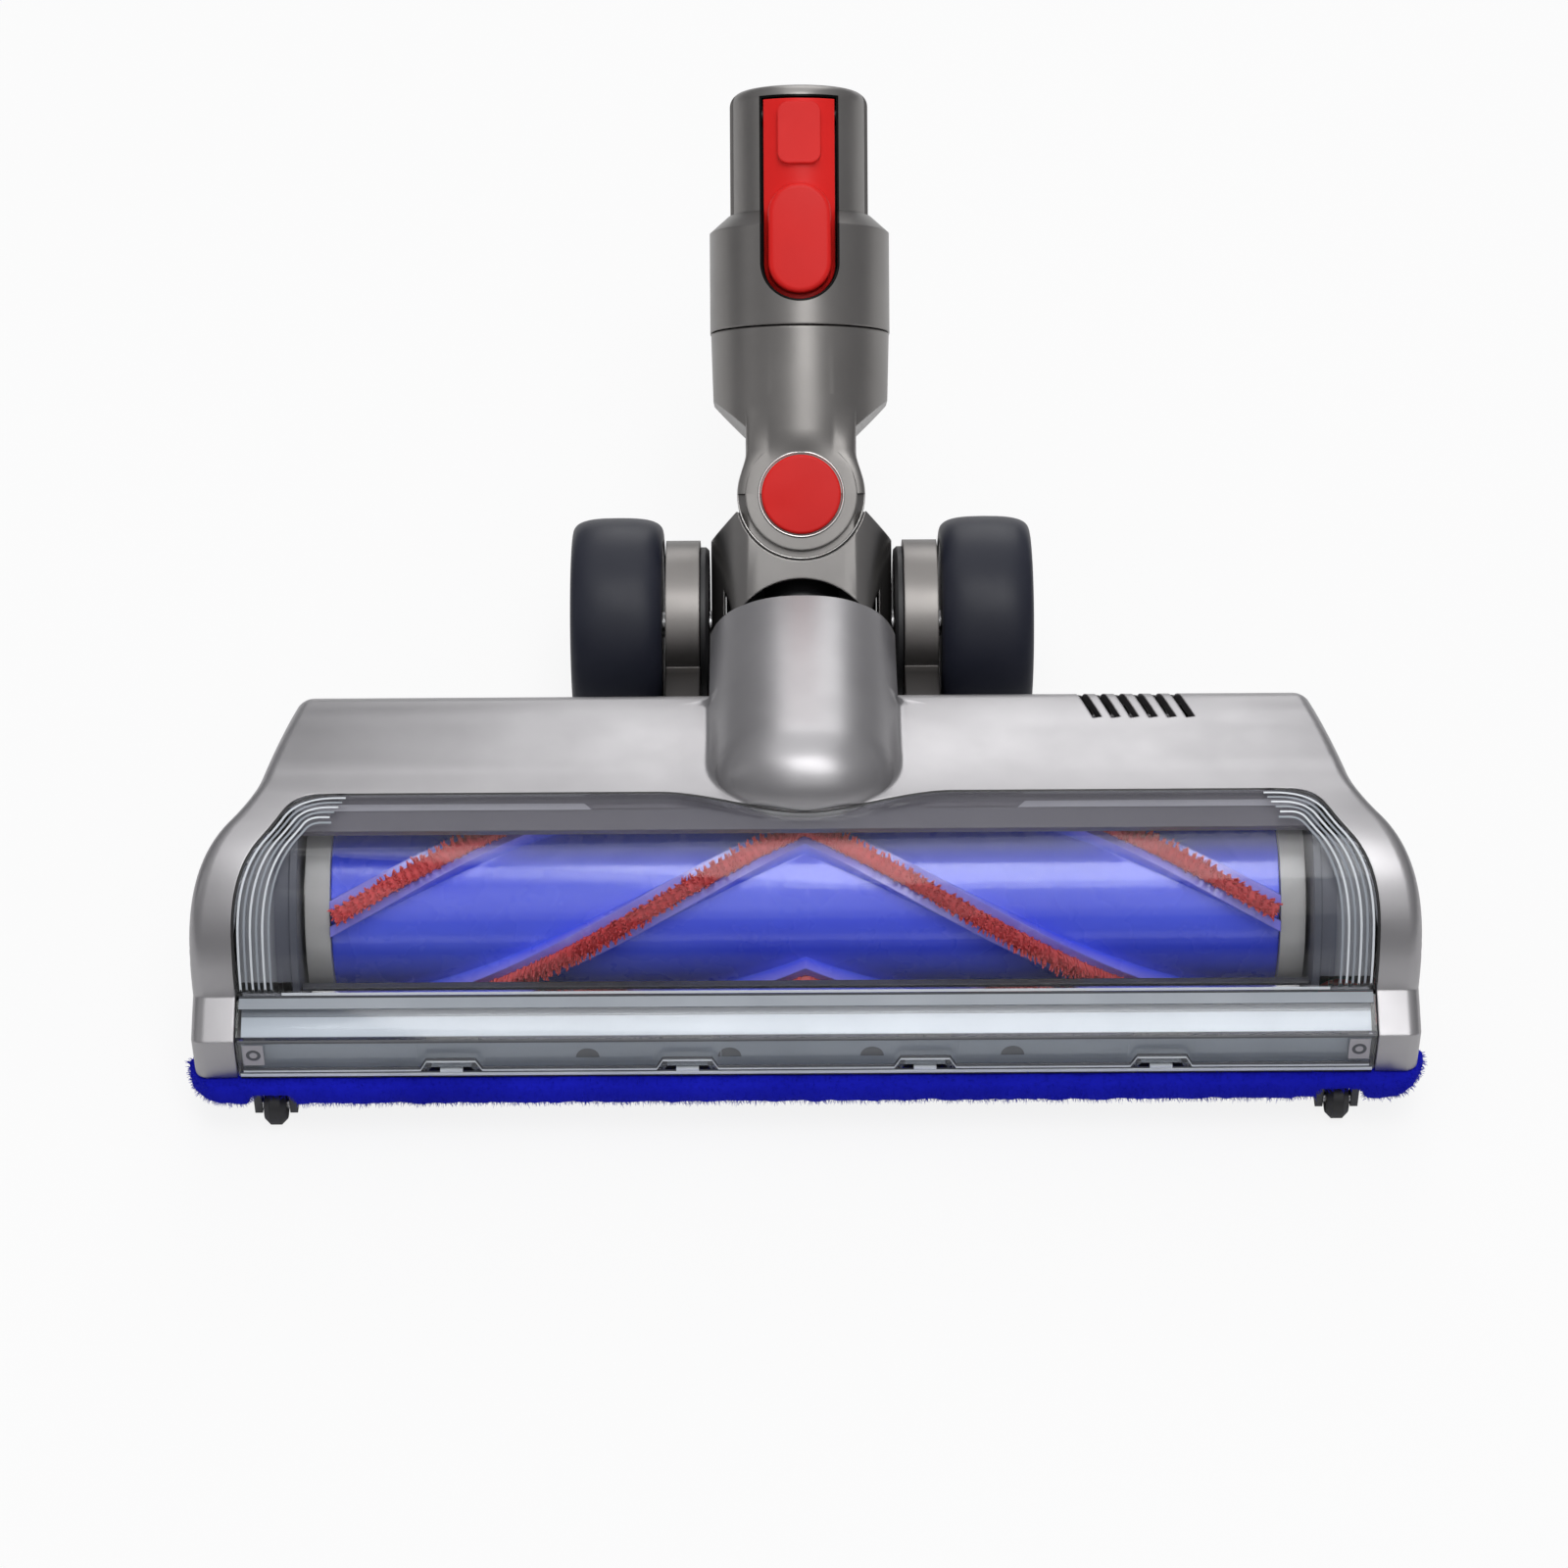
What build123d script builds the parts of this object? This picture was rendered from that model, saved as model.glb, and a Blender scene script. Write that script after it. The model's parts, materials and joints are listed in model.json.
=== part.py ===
from build123d import *
import os
from math import acos, cos, degrees, radians, sin, tan

# Driving dimensions in millimetres and degrees
# x runs to the right, y back from the brush axis, z up from the floor

# Shared fits
wall = 2.4
seam = 0.35
fit_gap = 0.1
running_gap = 0.05

# Head housing
head_width = 250.0
half_width = head_width / 2
axis_height = 25.5
barrel_radius = 31.0
base_height = 13.5
nose_reach = 39.4
nose_edge_height = 23.8
nose_top_reach = 33.6
nose_top_height = 27.0
sill_height = 28.3
rear_reach = 38.0
rear_height = 51.0
rear_round = 7.0
edge_round = 3.0
shoulder_start = -27.0
shoulder_step = 7.8
shoulder_inset = 13.4
shoulder_mid = (half_width - shoulder_step, -5.5)
shoulder_end = (half_width - shoulder_inset, 6.5)
rear_inset = 19.0
rear_width = 2 * (half_width - rear_inset)
rear_corner = 7.0
cheek_width = 9.0
window_half = half_width - cheek_width
window_corner = 8.0
window_edge = -0.6
tongue_half = 30.0
tongue_mid = (15.0, -3.4)
tongue_reach = 6.2

# Duct hump
hump_half = 20.0
hump_corner = 13.0
hump_nose_round = 11.0
hump_front = -3.3
hump_slope = 7.0
hump_depth = 43.0
hump_end = (58.0, 58.5)
hump_end_tilt = 8.0

# Vent slots
vent_count = 6
vent_pitch = 3.9
vent_width = 1.9
vent_length = 13.0
vent_slant = 14.0
vent_inset = 36.5
vent_middle = (rear_width / 2 - vent_inset, 30.5)
vent_depth_height = 44.0

# Brush chamber
chamber_wall = 1.6
chamber_lip_angle = -17.0
chamber_end_angle = 122.0
chamber_margin = 20.4
chamber_half = half_width - chamber_margin
chamber_side = 1.6
chamber_side_radius = 28.0
skirt_radius = 27.6
skirt_gap = 1.0
skirt_reach = window_half - skirt_gap
skirt_angles = (-82.0, -20.0)
chamber_bottom = 8.0
chamber_hole = 15.4
port_half = 15.0
port_angles = (18.0, 78.0)

# Window and bumper
window_wall = 2.3
window_rib_count = 4
window_rib_pitch = 2.0
window_rib_start = chamber_half + 1.8
window_rib_places = [window_rib_start + i * window_rib_pitch for i in range(window_rib_count)]
window_rib_width = 0.9
window_rib_depth = 0.5
bumper_wall = 2.2
bumper_base = 14.2
notch_places = (-72.3, -24.2, 24.2, 72.3)
notch_width = 11.0
notch_height = 2.2
notch_slope = 1.4

# Sole plate
sole_bottom = 4.5
sole_floor = 2.5
sole_inset = 0.8
sole_wall = 2.0
front_bar_bottom = 8.5
front_bar_reach = 36.7
front_bar_depth = 2.2
front_bar_top = 22.0
mouth_half = chamber_half - chamber_side
mouth_front = 24.0
mouth_rear = 21.0
front_wall_radius = 27.2
front_wall_angles = (-118.0, -86.0)

# Felt strip
felt_reach = 42.4
felt_overhang = 1.7
felt_half = half_width + felt_overhang
felt_depth = 5.5
felt_bottom = 7.0
felt_top = 13.3
felt_round = 3.2
felt_corner = 9.0
felt_return = 10.0

# Front rollers
roller_inset = 16.0
roller_place = (half_width - roller_inset, -37.8)
roller_radius = 4.5
roller_width = 4.6
roller_round = 1.2
roller_axle_radius = 1.2
roller_ear = 1.6
roller_ear_gap = 0.5
roller_ear_drop = 3.0
roller_ear_tail = 5.0
roller_pocket = 10.2

# Brush bar
brush_end_room = 7.6
brush_half = chamber_half - brush_end_room
tube_radius = 19.0
tube_bore = 16.6
row_count = 4
row_angle = 96.0
row_twist = 140.0
ridge_radius = 21.6
ridge_width = 7.4
slot_width = 3.0
slot_floor = 18.4
bristle_radius = 24.9
bristle_width = 2.0
strip_radius = 21.0
brush_collar_width = 5.2
brush_collar_radius = 20.6
stub_radius = 4.0
stub_overrun = 3.4
stub_reach = chamber_half + stub_overrun
dog_width = 7.0
dog_shaft = 7.5

# Motor inside the brush bar
mount_radius = 15.0
mount_wall = 2.0
mount_flange_radius = 18.0
mount_flange = 2.0
mount_step = 5.0
mount_reach = brush_half - mount_step
motor_radius = 14.0
motor_length = 58.0
motor_neck_radius = 6.0
motor_neck = 4.0
gearbox_radius = 15.2
gearbox_length = 28.0
dog_gap = 1.9
dog_place = -mount_reach + fit_gap + motor_length + gearbox_length + dog_gap

# Bearing carrier and coin lock
carrier_radius = 18.0
carrier_wall = 1.6
bearing_radius = 8.0
bearing_width = 3.2
lock_inset = 12.8
lock_place = (half_width - lock_inset, -14.0)
lock_radius = 6.0
lock_height = 4.6
lock_slot = 1.8
lock_slot_depth = 1.4
lock_gap = 0.3

# Control board
board_size = (58.0, 26.0)
board_wall = 1.6
chip_side = 8.0
socket_size = (12.0, 6.0)
component_height = 2.5
board_inset = 36.0
board_place = (rear_width / 2 - board_inset, rear_reach - wall - fit_gap - board_wall / 2, 29.5)

# Wheels, arms and the pitch axis
pitch_axis = (91.7, 24.0)
wheel_radius = 24.0
wheel_inner = 30.9
wheel_width = 20.4
wheel_round = 4.2
tyre_wall = 5.0
hub_wall = 2.6
hub_boss = 6.5
drum_radius = 18.8
drum_inner = 22.7
drum_outer = 30.3
drum_web = 2.4
drum_wall = 2.2
arm_top = 27.0
arm_bottom = 10.0
axle_radius = 3.0
axle_inner = 17.6
bush_radius = 17.3
bush_inner = 20.7
clip_radius = 5.0
clip_wall = 1.0

# Neck: v runs up the neck from the pitch axis, w out of its front face
neck_lean = 42.0
yoke_half = 20.2
yoke_radius = 18.0
yoke_shoulder = 18.2
yoke_top_half = 14.4
yoke_top = 24.2
yoke_front = 17.2
yoke_corner = 12.5
yoke_cavity = 15.2
yoke_leg = 3.0
arch_radius = 17.0
arch_drop = 7.7
tunnel_radius = 11.0
swivel_height = 27.8
tongue_radius = 9.5
tongue_inner = 11.2
tongue_outer = 13.7
recess_radius = 14.5
disc_radius = 14.2
disc_front = 16.8
face_radius = 12.4
face_front = 19.2
swivel_pin_radius = 4.0
cap_disc_radius = 8.8
cap_seat_gap = 0.5
cap_seat_depth = 0.9
cap_disc_height = 1.8
cap_disc_round = 0.6

# Lower neck
neck_half = 20.0
neck_offset = 1.5
neck_stretch = 4.0
neck_seam = 65.0
neck_low = 49.7
neck_low_half = 19.5
waist_half = 12.2
waist_top = 43.0
fork_top = 38.6
fork_half = 14.0
neck_rear_low = 18.6
neck_rear_start = 47.0
neck_wall = 2.6
neck_bore_top = 51.0

# Connector
collar_half = 20.2
collar_top = 91.3
collar_chamfer = (3.6, 4.0)
spigot_half = 15.5
spigot_stretch = 5.0
spigot_offset = 1.5
spigot_top = 119.3
spigot_round = 3.2
flute_width = 2.2
flute_depth = 0.8
bore_radius = 10.5
bore_offset = 3.5
collar_cavity_top = 85.0
collar_cavity_front = 7.2

# Release latch
latch_half = 7.9
latch_low = 71.3
latch_margin = 3.4
latch_high = spigot_top - latch_margin
latch_gap = 0.4
latch_floor = 8.7
latch_low_floor = 8.2
latch_step = 100.0
latch_back = 12.5
pad_low = 72.3
pad_high = 96.8
pad_half = 7.0
pad_drop = 0.4
catch_low = 101.3
catch_margin = 0.9
catch_high = latch_high - catch_margin
catch_half = 4.8
catch_rise = 1.3
latch_pivot_drop = 6.5
latch_pivot = (spigot_top - latch_pivot_drop, 11.5)
latch_pin_radius = 1.5
latch_boss_radius = 2.5
latch_pin_half = 9.3
spring_width = 5.0
spring_wall = 0.4
spring_run = 10.0
spring_bend = 3.0
spring_tail = 2.0

# Contact block
contact_half = 5.0
contact_depth = 3.0
contact_wall = 1.0
contact_drop = 12.3
contact_low = spigot_top - contact_drop
contact_pin_radius = 0.9
contact_pin_spread = 3.0

# Hose
hose_height = 30.0
hose_start = 49.0
hose_radius = 8.4
hose_wall = 1.4
hose_bend = 26.0
hose_top = 46.5
rib_radius = 10.3
rib_width = 1.9
rib_pitch = 4.2
rib_first = 64.0
rib_count = 5
cuff_place = 47.5
cuff_width = 4.0
cuff_floor = 20.0

# Screws
screw_radius = 2.6
screw_head = 1.6
screw_shank = 1.3
screw_length = 6.0
screw_row = 29.0
screw_middle = 40.0
screw_corner_inset = 10.0
screw_side_inset = 16.0
screw_front_inset = 13.0
screw_corner = rear_width / 2 - screw_corner_inset
side_screw_place = (-half_width + screw_side_inset, -3.0)
front_screw_place = (-half_width + screw_front_inset, -18.0)
sole_screw_places = [(x, screw_row) for x in (-screw_corner, -screw_middle, screw_middle, screw_corner)]
sole_screw_places += [front_screw_place, side_screw_place]
arm_screw_heights = (17.5, 24.0)


# Planes and shared points


def cross_plane(y):
    return Plane(origin=(0, y, 0), x_dir=(1, 0, 0), z_dir=(0, -1, 0))


def side_plane(x):
    return Plane(origin=(x, 0, 0), x_dir=(0, 1, 0), z_dir=(1, 0, 0))


def floor_plane(z):
    return Plane(origin=(0, 0, z), x_dir=(1, 0, 0), z_dir=(0, 0, 1))


def wedge(first, last, reach=60.0):
    middle = (first + last) / 2
    turned = [on_barrel(angle, reach) for angle in (first, middle, last)]
    return [brush_point] + turned


def on_barrel(angle, radius=barrel_radius):
    return (radius * sin(radians(angle)), axis_height + radius * cos(radians(angle)))


up_neck = Vector(0, sin(radians(neck_lean)), cos(radians(neck_lean)))
out_neck = Vector(0, -cos(radians(neck_lean)), sin(radians(neck_lean)))
pitch_point = Vector(0, pitch_axis[0], pitch_axis[1])


def neck_point(v, w=0.0, x=0.0):
    return pitch_point + up_neck * v + out_neck * w + Vector(x, 0, 0)


def face_plane(w=0.0, v=0.0):
    return Plane(origin=neck_point(v, w), x_dir=(1, 0, 0), z_dir=out_neck)


def ring_plane(v, w=0.0):
    return Plane(origin=neck_point(v, w), x_dir=(1, 0, 0), z_dir=up_neck)


neck_side = Plane(origin=pitch_point, x_dir=up_neck, z_dir=(1, 0, 0))
barrel_inner = barrel_radius - wall
chamber_radius = barrel_inner - fit_gap
sill_angle = -degrees(acos((sill_height - axis_height) / barrel_radius))
sill = on_barrel(sill_angle)
crown = on_barrel(0)
brush_point = (0.0, axis_height)

# Shared outlines

with BuildSketch(Plane.YZ) as side_profile:
    with BuildLine():
        Polyline(
            (rear_reach, base_height),
            (-nose_reach, base_height),
            (-nose_reach, nose_edge_height),
            (-nose_top_reach, nose_top_height),
            sill,
        )
        ThreePointArc(sill, on_barrel(sill_angle / 2), crown)
        TangentArc(crown, (rear_reach, rear_height), tangent=(1, 0))
        Line((rear_reach, rear_height), (rear_reach, base_height))
    make_face()
    fillet(side_profile.vertices().sort_by(lambda v: v.X + v.Y)[-1], rear_round)

with BuildSketch(Plane.YZ) as inner_side_profile:
    add(side_profile.sketch_local)
    offset(amount=-wall, kind=Kind.INTERSECTION)

with BuildSketch() as plan_profile:
    with BuildLine():
        Polyline((0, -nose_reach), (half_width, -nose_reach), (half_width, shoulder_start))
        outer_arc = TangentArc((half_width, shoulder_start), shoulder_mid, tangent=(0, 1))
        TangentArc(shoulder_mid, shoulder_end, tangent=outer_arc % 1)
        Polyline(shoulder_end, (rear_width / 2, rear_reach), (0, rear_reach))
        mirror(about=Plane.YZ)
    make_face()
    fillet(plan_profile.vertices().group_by(Axis.Y)[-1], rear_corner)

with BuildSketch() as inner_plan_profile:
    add(plan_profile.sketch_local)
    offset(amount=-wall, kind=Kind.INTERSECTION)

with BuildSketch() as sole_plan:
    add(plan_profile.sketch_local)
    offset(amount=-sole_inset, kind=Kind.INTERSECTION)

with BuildSketch() as sole_inner_plan:
    add(plan_profile.sketch_local)
    offset(amount=-sole_inset - sole_wall, kind=Kind.INTERSECTION)

# Plan of the window opening: set in from the cheeks, with a curve round the hump
with BuildSketch() as window_plan:
    add(plan_profile.sketch_local)
    offset(amount=-cheek_width, kind=Kind.INTERSECTION)
    with Locations((0, shoulder_start)):
        Rectangle(2 * window_half, nose_reach, align=(Align.CENTER, Align.MAX))
    with Locations((0, window_edge)):
        Rectangle(head_width, head_width, align=(Align.CENTER, Align.MIN), mode=Mode.SUBTRACT)
    outer_corners = window_plan.vertices().filter_by(lambda v: abs(v.Y - window_edge) < 0.01)
    fillet(outer_corners, window_corner)
    with BuildLine():
        lead_arc = TangentArc((tongue_half, window_edge), tongue_mid, tangent=(-1, 0))
        TangentArc(tongue_mid, (0, -tongue_reach), tangent=lead_arc % 1)
        mirror(about=Plane.YZ)
        Line((-tongue_half, window_edge), (tongue_half, window_edge))
    make_face(mode=Mode.SUBTRACT)

with BuildSketch() as window_piece_plan:
    add(window_plan.sketch_local)
    offset(amount=-seam, kind=Kind.INTERSECTION)

# Main housing

hump_run = Vector(0, cos(radians(hump_slope)), -sin(radians(hump_slope)))
hump_front_top = hump_end[1] + (hump_end[0] - hump_front) * tan(radians(hump_slope))
hump_length = rear_reach * 2


def hump_plane(along):
    top = Vector(0, hump_front, hump_front_top) + hump_run * along
    return Plane(origin=top, x_dir=(1, 0, 0), z_dir=hump_run)


with BuildPart() as hump:
    with BuildSketch(hump_plane(0)) as hump_section:
        Rectangle(2 * hump_half, hump_depth, align=(Align.CENTER, Align.MIN))
        fillet(hump_section.vertices().group_by(Axis.Y)[0], hump_corner)
    extrude(amount=hump_length)
    nose = hump.faces().sort_by(Axis.Y)[0].edges().sort_by(Axis.Z)[1:]
    fillet(nose, hump_nose_round)

with BuildPart() as hump_cavity:
    with BuildSketch(hump_plane(wall)) as hump_inner_section:
        with Locations((0, wall)):
            Rectangle(2 * (hump_half - wall), hump_depth - 2 * wall, align=(Align.CENTER, Align.MIN))
        fillet(hump_inner_section.vertices().group_by(Axis.Y)[0], hump_corner - wall)
    extrude(amount=hump_length)
    inner_nose = hump_cavity.faces().sort_by(Axis.Y)[0].edges().sort_by(Axis.Z)[1:]
    fillet(inner_nose, hump_nose_round - wall)

with BuildPart() as head_cavity:
    extrude(inner_side_profile.sketch, amount=head_width, both=True)
    extrude(inner_plan_profile.sketch, amount=rear_height * 2, mode=Mode.INTERSECT)
    extrude(head_cavity.faces().sort_by(Axis.Z)[0], amount=base_height)

with BuildPart() as chamber_space:
    with BuildSketch(Plane.YZ):
        with Locations(brush_point):
            Circle(barrel_inner)
    extrude(amount=head_width, both=True)
    extrude(inner_plan_profile.sketch, amount=rear_height * 2, mode=Mode.INTERSECT)

with BuildPart() as hump_shell:
    add(hump.part)
    with BuildSketch(
        Plane(
            origin=(0, hump_end[0], hump_end[1]),
            x_dir=(1, 0, 0),
            z_dir=(0, cos(radians(hump_end_tilt)), sin(radians(hump_end_tilt))),
        )
    ):
        Rectangle(head_width / 2, head_width)
    extrude(amount=head_width, mode=Mode.SUBTRACT)
    add(hump_cavity.part, mode=Mode.SUBTRACT)
    add(chamber_space.part, mode=Mode.SUBTRACT)

with BuildPart() as main_housing:
    extrude(side_profile.sketch, amount=head_width, both=True)
    extrude(plan_profile.sketch, amount=rear_height * 2, mode=Mode.INTERSECT)
    corner_start = rear_width / 2 - rear_corner
    rim = main_housing.edges().filter_by(lambda e: e.center().Z > base_height + 0.1)
    rim = rim.filter_by(lambda e: abs(e.tangent_at(0.5).X) < 0.99 or abs(e.center().X) > corner_start)
    rim = rim.filter_by(lambda e: abs(e.tangent_at(0.5).Z) < 0.98 or e.center().Y < -nose_top_reach)
    fillet(rim, edge_round)
    with BuildSketch(floor_plane(vent_depth_height)):
        with Locations(vent_middle):
            with GridLocations(vent_pitch, 0, vent_count, 1):
                Rectangle(vent_width, vent_length, rotation=vent_slant)
    extrude(amount=rear_height, mode=Mode.SUBTRACT)
    for side in (-1, 1):
        with BuildSketch(cross_plane(rear_reach)):
            with Locations(*[(side * (drum_inner + drum_outer) / 2, z) for z in arm_screw_heights]):
                Circle(screw_shank)
        extrude(amount=wall * 2, mode=Mode.SUBTRACT)
    add(head_cavity.part, mode=Mode.SUBTRACT)
    extrude(window_plan.sketch, amount=rear_height * 2, both=True, mode=Mode.SUBTRACT)
    add(hump_cavity.part, mode=Mode.SUBTRACT)
    add(hump_shell.part)

# Brush chamber, window and bumper

with BuildPart() as brush_chamber:
    with BuildSketch(side_plane(-chamber_half)):
        with Locations(brush_point):
            Circle(chamber_radius)
            Circle(chamber_radius - chamber_wall, mode=Mode.SUBTRACT)
        Polygon(*wedge(chamber_lip_angle, chamber_end_angle), align=None, mode=Mode.INTERSECT)
    extrude(amount=2 * chamber_half)
    for place in (-chamber_half, chamber_half - chamber_side):
        with BuildSketch(side_plane(place)):
            with Locations(brush_point):
                Circle(chamber_side_radius)
                Circle(chamber_hole, mode=Mode.SUBTRACT)
            with Locations((0, chamber_bottom)):
                Rectangle(
                    barrel_radius * 2,
                    barrel_radius,
                    align=(Align.CENTER, Align.MAX),
                    mode=Mode.SUBTRACT,
                )
        extrude(amount=chamber_side)
    for place in (-skirt_reach, chamber_half - fit_gap):
        with BuildSketch(side_plane(place)):
            with Locations(brush_point):
                Circle(skirt_radius)
                Circle(skirt_radius - chamber_wall, mode=Mode.SUBTRACT)
            Polygon(*wedge(*skirt_angles), align=None, mode=Mode.INTERSECT)
        extrude(amount=skirt_reach - chamber_half + fit_gap)
    with BuildSketch(side_plane(-port_half)):
        Polygon(*wedge(*port_angles), align=None)
    extrude(amount=2 * port_half, mode=Mode.SUBTRACT)

window_inner = barrel_radius - window_wall
with BuildPart() as window:
    with BuildSketch(side_plane(-window_half)):
        with Locations(brush_point):
            Circle(barrel_radius)
            Circle(window_inner, mode=Mode.SUBTRACT)
        Polygon(*wedge(sill_angle, -sill_angle / 8), align=None, mode=Mode.INTERSECT)
    extrude(amount=2 * window_half)
    extrude(window_piece_plan.sketch, amount=rear_height * 2, both=True, mode=Mode.INTERSECT)
    for place in window_rib_places:
        for start in (place, -place - window_rib_width):
            with BuildSketch(side_plane(start)):
                with Locations(brush_point):
                    Circle(window_inner + fit_gap)
                    Circle(window_inner - window_rib_depth, mode=Mode.SUBTRACT)
                Polygon(*wedge(sill_angle, chamber_lip_angle), align=None, mode=Mode.INTERSECT)
            extrude(amount=window_rib_width)

bumper_half = window_half - seam
with BuildPart() as front_bumper:
    with BuildSketch(side_plane(-bumper_half)):
        Polygon(
            (-nose_reach, bumper_base),
            (-nose_reach, nose_edge_height),
            (-nose_top_reach, nose_top_height),
            (sill[0] - seam * 2, sill_height - seam),
            (sill[0] + seam, sill_height - bumper_wall),
            (-nose_top_reach + bumper_wall / 2, nose_top_height - bumper_wall),
            (-nose_reach + bumper_wall, nose_edge_height - bumper_wall / 2),
            (-nose_reach + bumper_wall, bumper_base),
            align=None,
        )
    extrude(amount=2 * bumper_half)
    for place in notch_places:
        with BuildSketch(cross_plane(-nose_reach)):
            with Locations((place, bumper_base)):
                Polygon(
                    (-notch_width / 2, -1),
                    (-notch_width / 2, 0),
                    (-notch_width / 2 + notch_slope, notch_height),
                    (notch_width / 2 - notch_slope, notch_height),
                    (notch_width / 2, 0),
                    (notch_width / 2, -1),
                    align=None,
                )
        extrude(amount=-bumper_wall * 2, mode=Mode.SUBTRACT)

# Sole plate and felt strip

front_wall_half = chamber_half - chamber_side - seam
wall_foot = on_barrel(front_wall_angles[0], front_wall_radius)[1] + chamber_wall
with BuildPart() as sole_plate:
    with BuildSketch(floor_plane(sole_bottom)):
        add(sole_plan.sketch_local)
    extrude(amount=base_height - fit_gap - sole_bottom)
    with BuildSketch(floor_plane(sole_bottom + sole_floor)):
        add(sole_inner_plan.sketch_local)
    extrude(amount=base_height, mode=Mode.SUBTRACT)
    with BuildSketch(floor_plane(0)):
        with Locations((0, -front_bar_reach + sole_wall)):
            Rectangle(head_width * 2, head_width, align=(Align.CENTER, Align.MAX))
        with Locations((felt_half - felt_depth - seam, -felt_reach + felt_return + seam)):
            Rectangle(head_width, head_width, align=(Align.MIN, Align.MAX))
        with Locations((-felt_half + felt_depth + seam, -felt_reach + felt_return + seam)):
            Rectangle(head_width, head_width, align=(Align.MAX, Align.MAX))
    extrude(amount=base_height, mode=Mode.SUBTRACT)
    with BuildSketch(floor_plane(0)):
        with Locations((0, -mouth_front)):
            Rectangle(head_width * 2, head_width, align=(Align.CENTER, Align.MAX))
    extrude(amount=front_bar_bottom, mode=Mode.SUBTRACT)
    with BuildSketch(floor_plane(front_bar_bottom)):
        with Locations((0, -front_bar_reach)):
            Rectangle(2 * bumper_half, front_bar_reach - mouth_front, align=(Align.CENTER, Align.MIN))
    extrude(amount=sole_floor)
    with BuildSketch(floor_plane(front_bar_bottom)):
        with Locations((0, -felt_reach + felt_return + seam)):
            Rectangle(
                head_width - 2 * sole_inset - sole_wall,
                felt_reach - felt_return - seam - mouth_front,
                align=(Align.CENTER, Align.MIN),
            )
    extrude(amount=sole_floor)
    with BuildSketch(floor_plane(front_bar_bottom)):
        with Locations((0, -front_bar_reach)):
            Rectangle(2 * bumper_half, front_bar_depth, align=(Align.CENTER, Align.MIN))
    extrude(amount=front_bar_top - front_bar_bottom)
    with BuildSketch(floor_plane(0)):
        with Locations((0, (mouth_rear - mouth_front) / 2)):
            Rectangle(2 * mouth_half, mouth_rear + mouth_front)
    extrude(amount=base_height, mode=Mode.SUBTRACT)
    with BuildSketch(side_plane(-front_wall_half)):
        with Locations(brush_point):
            Circle(front_wall_radius)
            Circle(front_wall_radius - chamber_wall, mode=Mode.SUBTRACT)
        Polygon(*wedge(*front_wall_angles), align=None, mode=Mode.INTERSECT)
        with Locations((-mouth_front, front_bar_bottom)):
            Rectangle(chamber_wall, wall_foot - front_bar_bottom, align=(Align.MAX, Align.MIN))
    extrude(amount=2 * front_wall_half)
    for side in (-1, 1):
        with BuildSketch(floor_plane(0)):
            with Locations((side * roller_place[0], -front_bar_reach + front_bar_depth + seam)):
                Rectangle(roller_width + 2 * roller_ear_gap, felt_reach, align=(Align.CENTER, Align.MAX))
        extrude(amount=roller_pocket, mode=Mode.SUBTRACT)
        with BuildSketch(floor_plane(roller_ear_drop)):
            with Locations((side * roller_place[0], roller_place[1])):
                with GridLocations(roller_width + 2 * roller_ear_gap + roller_ear, 0, 2, 1):
                    Rectangle(roller_ear, 2 * (front_bar_reach + roller_place[1]) + roller_ear_tail)
        extrude(amount=roller_pocket - roller_ear_drop)
        with BuildSketch(side_plane(side * roller_place[0])):
            with Locations((roller_place[1], roller_radius)):
                Circle(roller_axle_radius)
        extrude(amount=roller_width * 2, both=True, mode=Mode.SUBTRACT)
    with BuildSketch(floor_plane(0)):
        with Locations(lock_place):
            Circle(lock_radius + lock_gap)
        with Locations(*sole_screw_places):
            Circle(screw_shank)
    extrude(amount=base_height, mode=Mode.SUBTRACT)

with BuildPart() as felt_strip:
    with BuildSketch(floor_plane(felt_bottom)) as felt_plan:
        with Locations((0, -felt_reach)):
            Rectangle(2 * felt_half, felt_return, align=(Align.CENTER, Align.MIN))
        fillet(felt_plan.vertices().group_by(Axis.Y)[0], felt_corner)
    extrude(amount=felt_top - felt_bottom)
    front_edges = felt_strip.edges().filter_by(lambda e: e.center().Y < -felt_reach + felt_return - 0.1)
    fillet(front_edges.group_by(Axis.Z)[0], felt_round)
    top_edges = felt_strip.edges().filter_by(lambda e: e.center().Y < -felt_reach + felt_return - 0.1)
    fillet(top_edges.group_by(Axis.Z)[-1], felt_round / 2)
    with BuildSketch(floor_plane(0)) as felt_inner:
        with Locations((0, -felt_reach + felt_depth)):
            Rectangle(2 * (felt_half - felt_depth), felt_return, align=(Align.CENTER, Align.MIN))
        fillet(felt_inner.vertices().group_by(Axis.Y)[0], felt_corner - felt_depth)
    extrude(amount=base_height, mode=Mode.SUBTRACT)
    for side in (-1, 1):
        with BuildSketch(floor_plane(0)):
            with Locations((side * roller_place[0], roller_place[1])):
                Rectangle(roller_width + 2 * (roller_ear_gap + roller_ear + seam), felt_reach)
        extrude(amount=roller_pocket + seam, mode=Mode.SUBTRACT)

with BuildPart() as front_roller_right:
    with BuildSketch(side_plane(roller_place[0] - roller_width / 2)):
        with Locations((roller_place[1], roller_radius)):
            Circle(roller_radius)
    extrude(amount=roller_width)
    chamfer(front_roller_right.edges(), roller_round)
    with BuildSketch(side_plane(roller_place[0] - roller_width)):
        with Locations((roller_place[1], roller_radius)):
            Circle(roller_axle_radius + running_gap)
    extrude(amount=2 * roller_width, mode=Mode.SUBTRACT)

with BuildPart() as front_roller_left:
    mirror(front_roller_right.part, about=Plane.YZ)

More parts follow.
